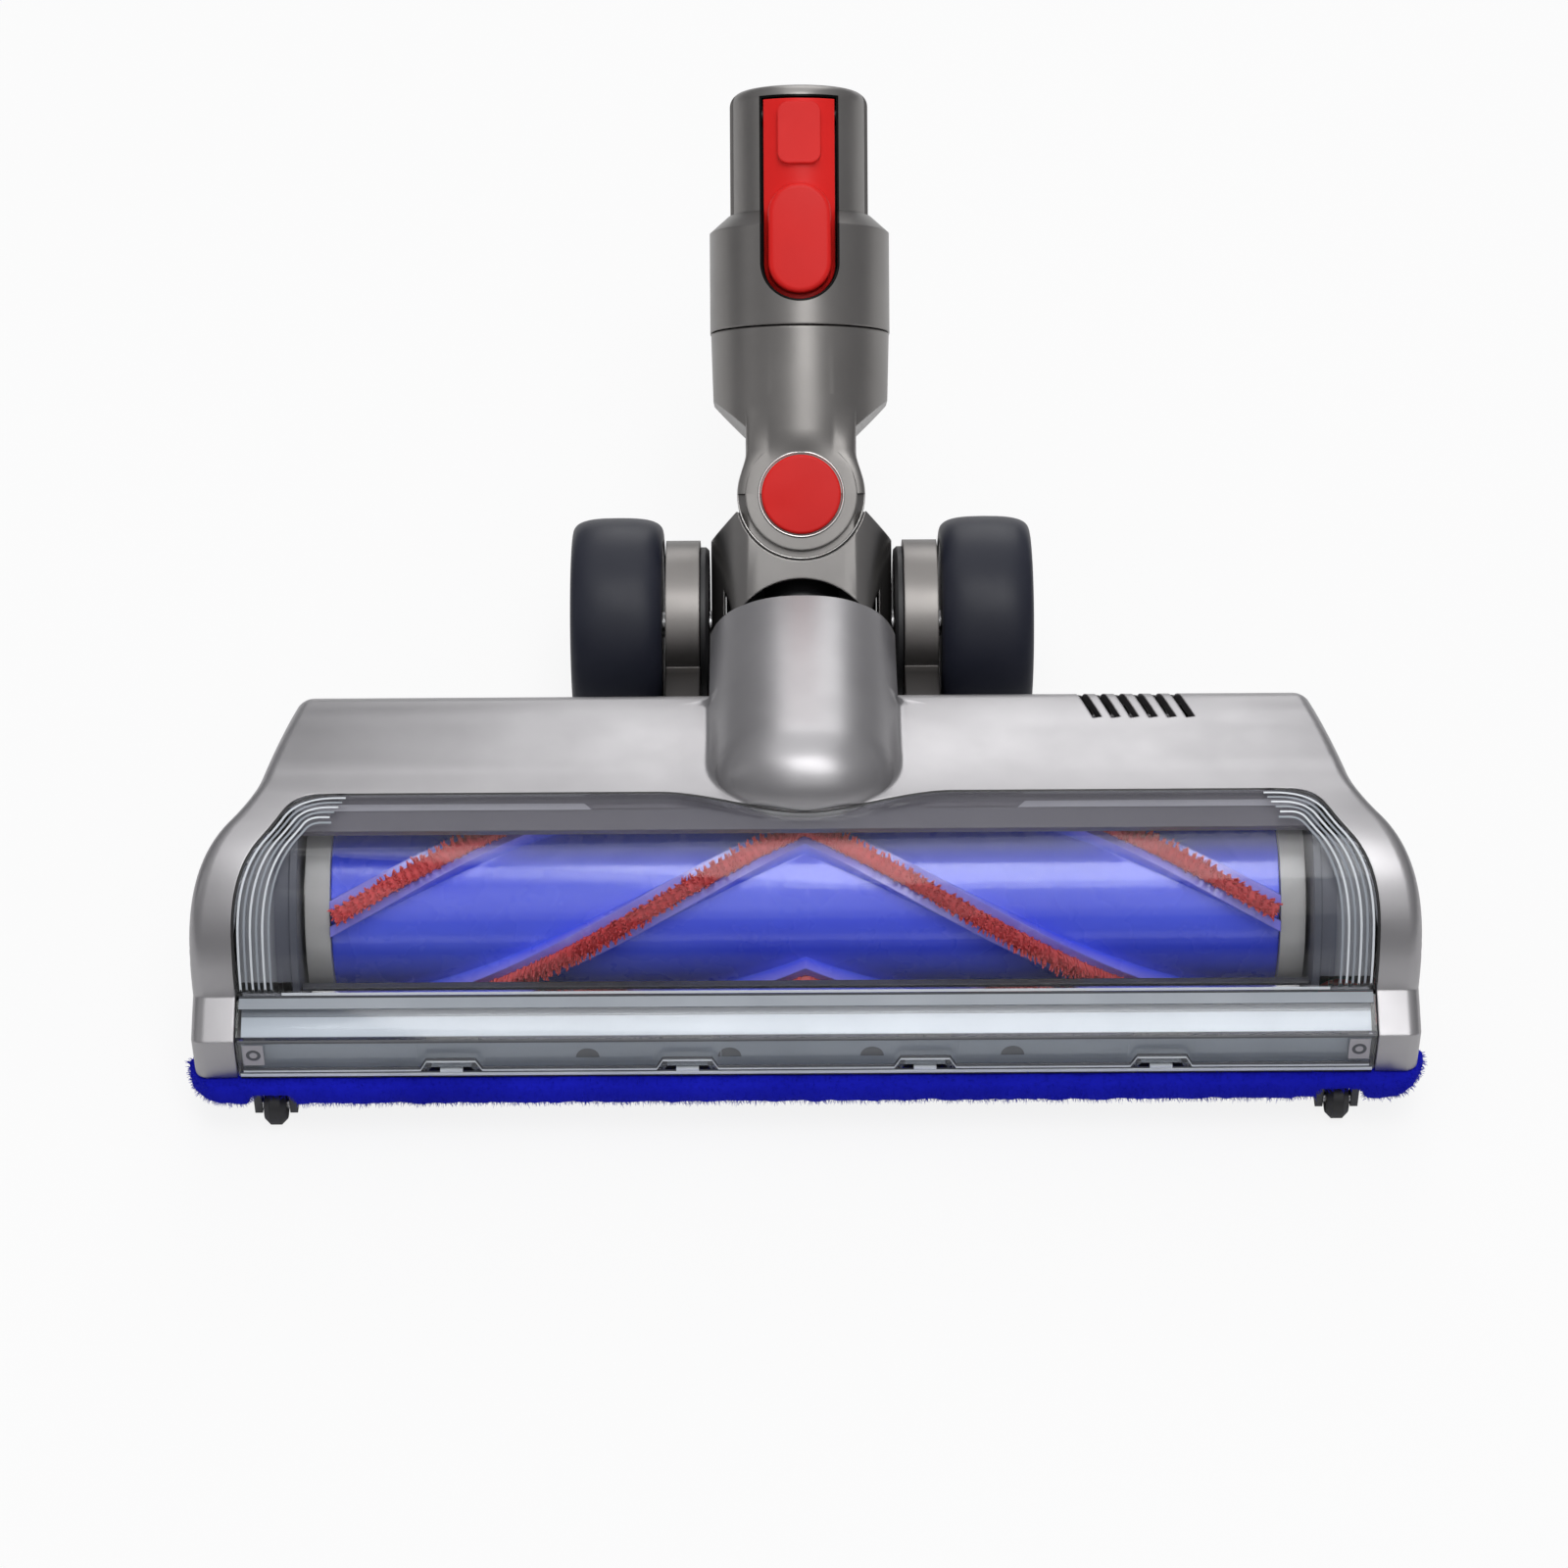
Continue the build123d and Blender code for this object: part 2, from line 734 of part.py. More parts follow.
roller_axle_half = roller_width / 2 + roller_ear_gap + roller_ear
with BuildPart() as roller_axle_right:
    with BuildSketch(side_plane(roller_place[0] - roller_axle_half)):
        with Locations((roller_place[1], roller_radius)):
            Circle(roller_axle_radius)
    extrude(amount=2 * roller_axle_half)

with BuildPart() as roller_axle_left:
    mirror(roller_axle_right.part, about=Plane.YZ)

# Brush bar

row_lead = brush_half * 360 / row_twist
with BuildPart() as brush_tube:
    with BuildSketch(Plane.YZ):
        Circle(tube_radius)
        with PolarLocations(0, row_count, start_angle=row_angle):
            with Locations((ridge_radius / 2, 0)):
                Rectangle(ridge_radius, ridge_width)
        with PolarLocations(0, row_count, start_angle=row_angle):
            with Locations((slot_floor, 0)):
                Rectangle(ridge_radius, slot_width, align=(Align.MIN, Align.CENTER), mode=Mode.SUBTRACT)
        Circle(tube_bore, mode=Mode.SUBTRACT)
    with BuildLine() as half_axis:
        Line((0, 0, 0), (brush_half, 0, 0))
    guide = Edge.make_helix(row_lead, brush_half, tube_radius, (0, 0, 0), (1, 0, 0))
    sweep(path=half_axis.wires()[0], binormal=guide)
    mirror(about=Plane.YZ)

row_strips = []
for row in range(row_count):
    with BuildPart() as bristle_row:
        with BuildSketch(Plane.YZ):
            with PolarLocations(0, 1, start_angle=row_angle + row * 360 / row_count):
                with Locations((slot_floor + fit_gap, 0)):
                    Rectangle(
                        strip_radius - slot_floor,
                        slot_width - 2 * fit_gap,
                        align=(Align.MIN, Align.CENTER),
                    )
                    Rectangle(
                        bristle_radius - slot_floor,
                        bristle_width,
                        align=(Align.MIN, Align.CENTER),
                    )
        with BuildLine() as row_axis:
            Line((0, 0, 0), (brush_half, 0, 0))
        guide = Edge.make_helix(row_lead, brush_half, tube_radius, (0, 0, 0), (1, 0, 0))
        sweep(path=row_axis.wires()[0], binormal=guide)
        mirror(about=Plane.YZ)
    row_strips.append(bristle_row)

brush_end = brush_half + brush_collar_width
with BuildPart() as brush_collar_left:
    with BuildSketch(side_plane(-brush_end)):
        Circle(brush_collar_radius)
        Circle(mount_radius + running_gap, mode=Mode.SUBTRACT)
    extrude(amount=brush_collar_width - fit_gap)

with BuildPart() as brush_collar_right:
    with BuildSketch(side_plane(brush_half + fit_gap)):
        Circle(brush_collar_radius)
    extrude(amount=brush_collar_width - fit_gap)
    with BuildSketch(side_plane(brush_half)):
        Circle(stub_radius)
    extrude(amount=stub_reach - brush_half)

with BuildPart() as drive_dog:
    with BuildSketch(side_plane(dog_place)):
        Circle(tube_bore - running_gap)
    extrude(amount=dog_width)
    with BuildSketch(side_plane(dog_place)):
        Circle(stub_radius)
    extrude(amount=-dog_shaft)

# Motor, bearing carrier and coin lock

with BuildPart() as motor_mount:
    with BuildSketch(side_plane(-chamber_half - fit_gap)):
        with Locations(brush_point):
            Circle(mount_flange_radius)
    extrude(amount=-mount_flange)
    with BuildSketch(side_plane(-chamber_half - fit_gap)):
        with Locations(brush_point):
            Circle(mount_radius)
    extrude(amount=chamber_half - mount_reach)
    with BuildSketch(side_plane(-chamber_half - mount_flange * 2)):
        with Locations(brush_point):
            Circle(mount_radius - mount_wall)
    extrude(amount=chamber_half - mount_reach + mount_flange, mode=Mode.SUBTRACT)
    with BuildSketch(side_plane(-chamber_half)):
        with Locations(brush_point):
            Circle(motor_neck_radius + fit_gap)
    extrude(amount=chamber_half, mode=Mode.SUBTRACT)

motor_start = -mount_reach + fit_gap
with BuildPart() as motor_can:
    with BuildSketch(side_plane(motor_start)):
        with Locations(brush_point):
            Circle(motor_radius)
    extrude(amount=motor_length)
    chamfer(motor_can.edges(), 1.0)
    with BuildSketch(side_plane(motor_start - motor_neck)):
        with Locations(brush_point):
            Circle(motor_neck_radius)
    extrude(amount=motor_neck + 1.0)

gearbox_start = motor_start + motor_length + fit_gap
with BuildPart() as gearbox:
    with BuildSketch(side_plane(gearbox_start)):
        with Locations(brush_point):
            Circle(gearbox_radius)
    extrude(amount=gearbox_length)
    chamfer(gearbox.edges(), 0.8)
    with BuildSketch(side_plane(gearbox_start + gearbox_length)):
        with Locations(brush_point):
            Circle(stub_radius + running_gap)
    extrude(amount=-gearbox_length / 2, mode=Mode.SUBTRACT)

carrier_start = chamber_half + fit_gap
with BuildPart() as bearing_carrier:
    with BuildSketch(side_plane(carrier_start)):
        with Locations(brush_point):
            Circle(carrier_radius)
    extrude(amount=carrier_wall)
    with BuildSketch(side_plane(carrier_start)):
        with Locations(brush_point):
            Circle(bearing_radius + wall)
    extrude(amount=bearing_width)
    with BuildSketch(side_plane(carrier_start)):
        with Locations(brush_point):
            Circle(bearing_radius)
    extrude(amount=bearing_width, mode=Mode.SUBTRACT)

with BuildPart() as brush_bearing:
    with BuildSketch(side_plane(carrier_start)):
        with Locations(brush_point):
            Circle(bearing_radius - fit_gap / 2)
            Circle(stub_radius + running_gap, mode=Mode.SUBTRACT)
    extrude(amount=bearing_width)

with BuildPart() as coin_lock:
    with BuildSketch(floor_plane(sole_bottom)):
        with Locations(lock_place):
            Circle(lock_radius)
    extrude(amount=lock_height)
    with BuildSketch(floor_plane(sole_bottom)):
        with Locations(lock_place):
            Rectangle(2 * lock_radius, lock_slot)
    extrude(amount=lock_slot_depth, mode=Mode.SUBTRACT)

# Control board

with BuildPart() as control_board:
    with BuildSketch(cross_plane(board_place[1] + board_wall / 2)):
        with Locations((board_place[0], board_place[2])):
            Rectangle(*board_size)
    extrude(amount=board_wall)
    with BuildSketch(cross_plane(board_place[1] - board_wall / 2)):
        with Locations((board_place[0] - board_size[0] / 3, board_place[2] + board_size[1] / 4)):
            Rectangle(chip_side, chip_side)
        with Locations((board_place[0] + board_size[0] / 4, board_place[2] + board_size[1] / 4)):
            Rectangle(*socket_size)
    extrude(amount=component_height)

# Wheel arms, wheels and axles


with BuildPart() as wheel_arm_right:
    with BuildSketch(side_plane(drum_inner)):
        with Locations(pitch_axis):
            Circle(drum_radius)
        Polygon(
            (rear_reach + fit_gap, arm_bottom),
            (rear_reach + fit_gap, arm_top),
            (pitch_axis[0], arm_top),
            (pitch_axis[0], arm_bottom),
            align=None,
        )
    extrude(amount=drum_outer - drum_inner)
    with BuildSketch(side_plane(drum_inner + drum_web)):
        with Locations(pitch_axis):
            Circle(drum_radius - drum_wall)
            Circle(hub_boss, mode=Mode.SUBTRACT)
    extrude(amount=drum_outer, mode=Mode.SUBTRACT)
    with BuildSketch(side_plane(0)):
        with Locations(pitch_axis):
            Circle(axle_radius)
    extrude(amount=drum_outer, mode=Mode.SUBTRACT)
    with BuildSketch(cross_plane(rear_reach)):
        with Locations(*[((drum_inner + drum_outer) / 2, z) for z in arm_screw_heights]):
            Circle(screw_shank)
    extrude(amount=-screw_length, mode=Mode.SUBTRACT)

with BuildPart() as wheel_arm_left:
    mirror(wheel_arm_right.part, about=Plane.YZ)

wheel_outer = wheel_inner + wheel_width
tyre_seat = wheel_radius - tyre_wall
with BuildPart() as tyre_right:
    with BuildSketch(side_plane(wheel_inner)):
        with Locations(pitch_axis):
            Circle(wheel_radius)
    extrude(amount=wheel_width)
    chamfer(tyre_right.edges(), wheel_round, wheel_round / 2)
    with BuildSketch(side_plane(0)):
        with Locations(pitch_axis):
            Circle(tyre_seat)
    extrude(amount=wheel_outer * 2, mode=Mode.SUBTRACT)

with BuildPart() as tyre_left:
    mirror(tyre_right.part, about=Plane.YZ)

hub_start = wheel_inner + 0.4
hub_width = wheel_width - 1.0
with BuildPart() as wheel_hub_right:
    with BuildSketch(side_plane(hub_start)):
        with Locations(pitch_axis):
            Circle(tyre_seat - running_gap)
    extrude(amount=hub_width)
    with BuildSketch(side_plane(hub_start + hub_wall)):
        with Locations(pitch_axis):
            Circle(tyre_seat - hub_wall)
            Circle(hub_boss, mode=Mode.SUBTRACT)
    extrude(amount=hub_width, mode=Mode.SUBTRACT)
    with BuildSketch(side_plane(hub_start + hub_width - hub_wall)):
        with Locations(pitch_axis):
            Circle(hub_boss)
    extrude(amount=hub_wall, mode=Mode.SUBTRACT)
    with BuildSketch(side_plane(0)):
        with Locations(pitch_axis):
            Circle(axle_radius + running_gap)
    extrude(amount=wheel_outer * 2, mode=Mode.SUBTRACT)

with BuildPart() as wheel_hub_left:
    mirror(wheel_hub_right.part, about=Plane.YZ)

clip_start = hub_start + hub_width - hub_wall + 0.3
with BuildPart() as axle_right:
    with BuildSketch(side_plane(axle_inner)):
        with Locations(pitch_axis):
            Circle(axle_radius)
    extrude(amount=clip_start - axle_inner + clip_wall)
    with BuildSketch(side_plane(clip_start)):
        with Locations(pitch_axis):
            Circle(clip_radius)
    extrude(amount=clip_wall)

with BuildPart() as axle_left:
    mirror(axle_right.part, about=Plane.YZ)

with BuildPart() as pivot_bush_right:
    with BuildSketch(side_plane(bush_inner)):
        with Locations(pitch_axis):
            Circle(bush_radius)
            Circle(axle_radius + fit_gap / 2, mode=Mode.SUBTRACT)
    extrude(amount=drum_inner - bush_inner - fit_gap)
    chamfer(pivot_bush_right.edges().group_by(Axis.X)[0].sort_by(SortBy.LENGTH)[-1], 0.7)

with BuildPart() as pivot_bush_left:
    mirror(pivot_bush_right.part, about=Plane.YZ)

# Yoke

with BuildPart() as yoke:
    with BuildSketch(face_plane()):
        Polygon(
            (yoke_half, -yoke_radius),
            (yoke_half, yoke_shoulder),
            (yoke_top_half, yoke_top),
            (-yoke_top_half, yoke_top),
            (-yoke_half, yoke_shoulder),
            (-yoke_half, -yoke_radius),
            align=None,
        )
    extrude(amount=yoke_radius * 2, both=True)
    with BuildSketch(neck_side):
        Circle(yoke_radius)
        Rectangle(yoke_top, 2 * yoke_front, align=(Align.MIN, Align.CENTER))
    extrude(amount=yoke_radius * 2, both=True, mode=Mode.INTERSECT)
    with BuildSketch(ring_plane(0)):
        RectangleRounded(2 * yoke_half, 2 * yoke_radius, yoke_corner)
    extrude(amount=yoke_top * 2, both=True, mode=Mode.INTERSECT)
    with BuildSketch(face_plane(tongue_inner)):
        with Locations((0, swivel_height)):
            Circle(tongue_radius)
        with Locations((0, yoke_top - yoke_leg)):
            Rectangle(2 * tongue_radius, swivel_height - yoke_top + yoke_leg, align=(Align.CENTER, Align.MIN))
    extrude(amount=tongue_outer - tongue_inner)
    with BuildSketch(face_plane(-tongue_inner)):
        with Locations((0, swivel_height)):
            Circle(tongue_radius)
        with Locations((0, yoke_top - yoke_leg)):
            Rectangle(2 * tongue_radius, swivel_height - yoke_top + yoke_leg, align=(Align.CENTER, Align.MIN))
    extrude(amount=tongue_inner - tongue_outer)
    with BuildSketch(side_plane(yoke_leg - yoke_half)):
        with Locations(pitch_axis):
            Circle(yoke_cavity)
    extrude(amount=2 * (yoke_half - yoke_leg), mode=Mode.SUBTRACT)
    with BuildSketch(ring_plane(0)):
        Circle(tunnel_radius)
    extrude(amount=swivel_height * 2, mode=Mode.SUBTRACT)
    with BuildSketch(face_plane(0)):
        with Locations((0, -arch_drop)):
            Circle(arch_radius)
    extrude(amount=yoke_radius * 2, mode=Mode.SUBTRACT)
    for start, reach in ((tongue_outer, yoke_radius), (-tongue_outer, -yoke_radius)):
        with BuildSketch(face_plane(start)):
            with Locations((0, swivel_height)):
                Circle(recess_radius)
        extrude(amount=reach, mode=Mode.SUBTRACT)
    with BuildSketch(side_plane(0)):
        with Locations(pitch_axis):
            Circle(axle_radius + running_gap)
    extrude(amount=yoke_half * 2, both=True, mode=Mode.SUBTRACT)
    with BuildSketch(face_plane(0)):
        with Locations((0, swivel_height)):
            Circle(swivel_pin_radius + running_gap)
    extrude(amount=yoke_radius * 2, both=True, mode=Mode.SUBTRACT)

# Lower neck


def ring_place(offset_back):
    return Location((0, offset_back, 0), (0, 0, 90))


with BuildPart() as lower_neck:
    with BuildSketch(ring_plane(swivel_height - disc_radius)):
        with Locations(ring_place(neck_offset)):
            SlotCenterToCenter(neck_stretch, 2 * neck_half)
    extrude(amount=neck_seam - swivel_height + disc_radius)
    with BuildSketch(face_plane()):
        Polygon(
            (neck_half, neck_seam),
            (neck_low_half, neck_low),
            (waist_half, waist_top),
            (waist_half, swivel_height),
            (-waist_half, swivel_height),
            (-waist_half, waist_top),
            (-neck_low_half, neck_low),
            (-neck_half, neck_seam),
            align=None,
        )
        with Locations((0, swivel_height)):
            Circle(disc_radius)
    extrude(amount=neck_half * 2, both=True, mode=Mode.INTERSECT)
    with BuildSketch(neck_side):
        Polygon(
            (0, neck_half * 2),
            (neck_seam, neck_half * 2),
            (neck_seam, -neck_half * 2),
            (neck_rear_start + neck_half / 2, -neck_half * 2 + neck_rear_low - neck_half / 2),
            (neck_rear_start, -neck_rear_low),
            (0, -neck_rear_low),
            align=None,
        )
    extrude(amount=neck_half * 2, both=True, mode=Mode.INTERSECT)
    with BuildSketch(face_plane(face_front)):
        with Locations((0, swivel_height)):
            Circle(disc_radius)
    extrude(amount=neck_half, mode=Mode.SUBTRACT)
    with BuildSketch(face_plane(disc_front)):
        with Locations((0, swivel_height)):
            Circle(disc_radius + 1)
            Circle(face_radius, mode=Mode.SUBTRACT)
        with Locations((0, swivel_height)):
            Rectangle(disc_radius * 3, disc_radius * 2, align=(Align.CENTER, Align.MIN), mode=Mode.SUBTRACT)
    extrude(amount=neck_half, mode=Mode.SUBTRACT)
    with BuildSketch(face_plane(fork_half)):
        with Locations((0, swivel_height)):
            Circle(face_radius)
    extrude(amount=face_front - fork_half)
    with BuildSketch(face_plane(-fork_half)):
        with Locations((0, fork_top)):
            Rectangle(neck_half * 3, neck_half * 3, align=(Align.CENTER, Align.MAX))
    extrude(amount=2 * fork_half, mode=Mode.SUBTRACT)
    with BuildSketch(ring_plane(fork_top - 1)):
        Circle(tunnel_radius)
    extrude(amount=neck_seam, mode=Mode.SUBTRACT)
    with BuildSketch(ring_plane(neck_bore_top)):
        with Locations(ring_place(neck_offset)):
            SlotCenterToCenter(neck_stretch, 2 * (neck_half - neck_wall))
    extrude(amount=neck_seam, mode=Mode.SUBTRACT)
    with BuildSketch(face_plane(0)):
        with Locations((0, swivel_height)):
            Circle(swivel_pin_radius)
    extrude(amount=neck_half * 2, both=True, mode=Mode.SUBTRACT)
    with BuildSketch(face_plane(face_front - cap_seat_depth)):
        with Locations((0, swivel_height)):
            Circle(cap_disc_radius + cap_seat_gap)
    extrude(amount=neck_half, mode=Mode.SUBTRACT)

pin_front = face_front - cap_seat_depth - fit_gap
with BuildPart() as swivel_pins:
    with BuildSketch(face_plane(tongue_inner)):
        with Locations((0, swivel_height)):
            Circle(swivel_pin_radius)
    extrude(amount=pin_front - tongue_inner)
    with BuildSketch(face_plane(-tongue_inner)):
        with Locations((0, swivel_height)):
            Circle(swivel_pin_radius)
    extrude(amount=tongue_inner - neck_rear_low)

with BuildPart() as swivel_cap:
    with BuildSketch(face_plane(face_front - cap_seat_depth)):
        with Locations((0, swivel_height)):
            Circle(cap_disc_radius)
    extrude(amount=cap_disc_height)
    fillet(swivel_cap.edges().sort_by(Axis(neck_point(0), out_neck))[-1], cap_disc_round)

# Connector

contact_place = bore_offset + bore_radius + contact_wall + contact_depth / 2
with BuildPart() as connector:
    with BuildSketch(ring_plane(neck_seam + seam)):
        with Locations(ring_place(neck_offset)):
            SlotCenterToCenter(neck_stretch, 2 * collar_half)
    extrude(amount=collar_top - neck_seam - seam)
    top_rim = connector.faces().sort_by(Axis(neck_point(0), up_neck))[-1].edges()
    chamfer(top_rim, collar_chamfer[0], collar_chamfer[1])
    with BuildSketch(ring_plane(neck_seam + seam)):
        with Locations(ring_place(spigot_offset)):
            SlotCenterToCenter(spigot_stretch, 2 * spigot_half)
    extrude(amount=spigot_top - neck_seam - seam)
    spigot_rim = connector.faces().sort_by(Axis(neck_point(0), up_neck))[-1].edges()
    fillet(spigot_rim, spigot_round)
    for side in (-1, 1):
        with BuildSketch(ring_plane(collar_top)):
            with Locations((side * (spigot_half + flute_width - flute_depth - 0.2), 3.0)):
                Circle(flute_width)
            with Locations((side * (spigot_half + flute_width - flute_depth - 0.6), -4.6)):
                Circle(flute_width)
        extrude(amount=spigot_top, mode=Mode.SUBTRACT)
    with BuildSketch(ring_plane(0)):
        with Locations((0, bore_offset)):
            Circle(bore_radius)
    extrude(amount=spigot_top * 2, mode=Mode.SUBTRACT)
    with BuildSketch(ring_plane(neck_seam)):
        with Locations(ring_place(neck_offset)):
            SlotCenterToCenter(neck_stretch, 2 * (collar_half - neck_wall))
        with Locations((0, -collar_cavity_front)):
            Rectangle(neck_half * 3, neck_half * 3, align=(Align.CENTER, Align.MIN), mode=Mode.INTERSECT)
    extrude(amount=collar_cavity_top - neck_seam, mode=Mode.SUBTRACT)
    with BuildSketch(face_plane(latch_floor)):
        with Locations((0, latch_low + latch_half)):
            Circle(latch_half + latch_gap)
            Rectangle(
                2 * (latch_half + latch_gap),
                latch_high + latch_gap - latch_low - latch_half,
                align=(Align.CENTER, Align.MIN),
            )
    extrude(amount=neck_half, mode=Mode.SUBTRACT)
    with BuildSketch(face_plane(latch_low_floor)):
        with Locations((0, latch_low + latch_half)):
            Circle(latch_half + latch_gap)
            Rectangle(
                2 * (latch_half + latch_gap),
                latch_step - latch_low - latch_half,
                align=(Align.CENTER, Align.MIN),
            )
    extrude(amount=neck_half, mode=Mode.SUBTRACT)
    with BuildSketch(neck_side):
        with Locations(latch_pivot):
            Circle(latch_pin_radius)
    extrude(amount=latch_pin_half, both=True, mode=Mode.SUBTRACT)
    with BuildSketch(ring_plane(contact_low)):
        with Locations((0, contact_place)):
            Rectangle(2 * (contact_half + fit_gap), contact_depth)
    extrude(amount=spigot_top, mode=Mode.SUBTRACT)

with BuildPart() as contact_block:
    with BuildSketch(ring_plane(contact_low + fit_gap)):
        with Locations((0, contact_place)):
            Rectangle(2 * contact_half, contact_depth - 2 * fit_gap)
    extrude(amount=spigot_top - contact_low - 3.0)

with BuildPart() as contact_pins:
    with BuildSketch(ring_plane(spigot_top - 3.0 + fit_gap)):
        with Locations((-contact_pin_spread, contact_place), (contact_pin_spread, contact_place)):
            Circle(contact_pin_radius)
    extrude(amount=2.6)

# Release latch

with BuildPart() as release_latch:
    with BuildSketch(face_plane(latch_back)):
        with Locations((0, latch_low + latch_half)):
            Circle(latch_half)
            Rectangle(2 * latch_half, latch_high - latch_low - latch_half, align=(Align.CENTER, Align.MIN))
    extrude(amount=neck_half)
    with BuildSketch(ring_plane(0)):
        with Locations(ring_place(spigot_offset)):
            SlotCenterToCenter(spigot_stretch, 2 * spigot_half)
    extrude(amount=spigot_top * 2, mode=Mode.INTERSECT)
    with BuildSketch(face_plane(latch_back)):
        with Locations((0, (pad_low + pad_high) / 2)):
            RectangleRounded(2 * pad_half, pad_high - pad_low, pad_half - 0.1)
    extrude(amount=collar_half - pad_drop - latch_back)
    pad_edges = release_latch.faces().sort_by(Axis(neck_point(0), out_neck))[-1].edges()
    fillet(pad_edges, 1.2)
    with BuildSketch(face_plane(latch_back)):
        with Locations((0, (catch_low + catch_high) / 2)):
            RectangleRounded(2 * catch_half, catch_high - catch_low, 2.4)
    extrude(amount=spigot_half + 1.0 + catch_rise - latch_back)
    with BuildSketch(neck_side):
        with Locations(latch_pivot):
            Circle(latch_boss_radius)
    extrude(amount=latch_half - 0.4, both=True)
    with BuildSketch(neck_side):
        with Locations(latch_pivot):
            Circle(latch_pin_radius + running_gap)
    extrude(amount=latch_half * 2, both=True, mode=Mode.SUBTRACT)

with BuildPart() as latch_pin:
    with BuildSketch(neck_side):
        with Locations(latch_pivot):
            Circle(latch_pin_radius)
    extrude(amount=latch_pin_half, both=True)

spring_low = latch_low + latch_half
with BuildPart() as latch_spring:
    with BuildSketch(neck_side):
        Polygon(
            (spring_low, latch_low_floor + fit_gap),
            (spring_low + spring_run, latch_low_floor + fit_gap),
            (spring_low + spring_bend, latch_back - fit_gap),
            (spring_low - spring_tail, latch_back - fit_gap),
            (spring_low - spring_tail, latch_back - fit_gap - spring_wall),
            (spring_low + spring_bend - spring_wall / 2, latch_back - fit_gap - spring_wall),
            (spring_low + spring_run - 2.5 * spring_wall, latch_low_floor + fit_gap + spring_wall),
            (spring_low, latch_low_floor + fit_gap + spring_wall),
            align=None,
        )
    extrude(amount=spring_width / 2, both=True)

# Hose and cuffs

bend_corner = pitch_axis[0] + (hose_height - pitch_axis[1]) * tan(radians(neck_lean))
bend_rise = (hose_height - pitch_axis[1]) / cos(radians(neck_lean))
bend_run = hose_bend * tan(radians(90 - neck_lean) / 2)
hose_points = [
    Vector(0, hose_start, hose_height),
    Vector(0, bend_corner - bend_run, hose_height),
    neck_point(bend_rise + bend_run),
    neck_point(hose_top),
]
with BuildPart() as duct_hose:
    with BuildLine() as hose_path:
        Line(hose_points[0], hose_points[1])
        TangentArc(hose_points[1], hose_points[2], tangent=(0, 1, 0))
        Line(hose_points[2], hose_points[3])
    with BuildSketch(cross_plane(hose_start)):
        with Locations((0, hose_height)):
            Circle(hose_radius)
            Circle(hose_radius - hose_wall, mode=Mode.SUBTRACT)
    sweep(path=hose_path.wires()[0])
    for rib in range(rib_count):
        with BuildSketch(cross_plane(rib_first + rib * rib_pitch)):
            with Locations((0, hose_height)):
                Circle(rib_radius)
                Circle(hose_radius - hose_wall / 2, mode=Mode.SUBTRACT)
        extrude(amount=rib_width)

with BuildPart() as hose_cuff:
    with BuildSketch(cross_plane(cuff_place + cuff_width)):
        with Locations((0, hose_height)):
            RectangleRounded(2 * (rib_radius + 4), 2 * (hose_height - cuff_floor), 3.0)
            Circle(hose_radius + fit_gap, mode=Mode.SUBTRACT)
    extrude(amount=cuff_width)

with BuildPart() as neck_cuff:
    with BuildSketch(ring_plane(fork_top + 1)):
        Circle(tunnel_radius - fit_gap)
        Circle(hose_radius + fit_gap, mode=Mode.SUBTRACT)
    extrude(amount=hose_top - fork_top - 1)

# Screws

with BuildPart() as sole_screws:
    with BuildSketch(floor_plane(sole_bottom - 0.2)):
        with Locations(*sole_screw_places):
            Circle(screw_shank - fit_gap)
    extrude(amount=sole_floor + screw_length)
    with BuildSketch(floor_plane(sole_bottom - 0.2)):
        with Locations(*sole_screw_places):
            Circle(screw_radius)
    extrude(amount=-screw_head / 2)

with BuildPart() as arm_screws:
    for side in (-1, 1):
        with BuildSketch(cross_plane(rear_reach + screw_length - 0.4)):
            with Locations(*[(side * (drum_inner + drum_outer) / 2, z) for z in arm_screw_heights]):
                Circle(screw_shank - fit_gap)
        extrude(amount=screw_length + wall - 0.2)
        with BuildSketch(cross_plane(rear_reach - wall - fit_gap)):
            with Locations(*[(side * (drum_inner + drum_outer) / 2, z) for z in arm_screw_heights]):
                Circle(screw_radius)
        extrude(amount=screw_head)

# Named pieces: the brush pieces are made on the axis and lifted to its height

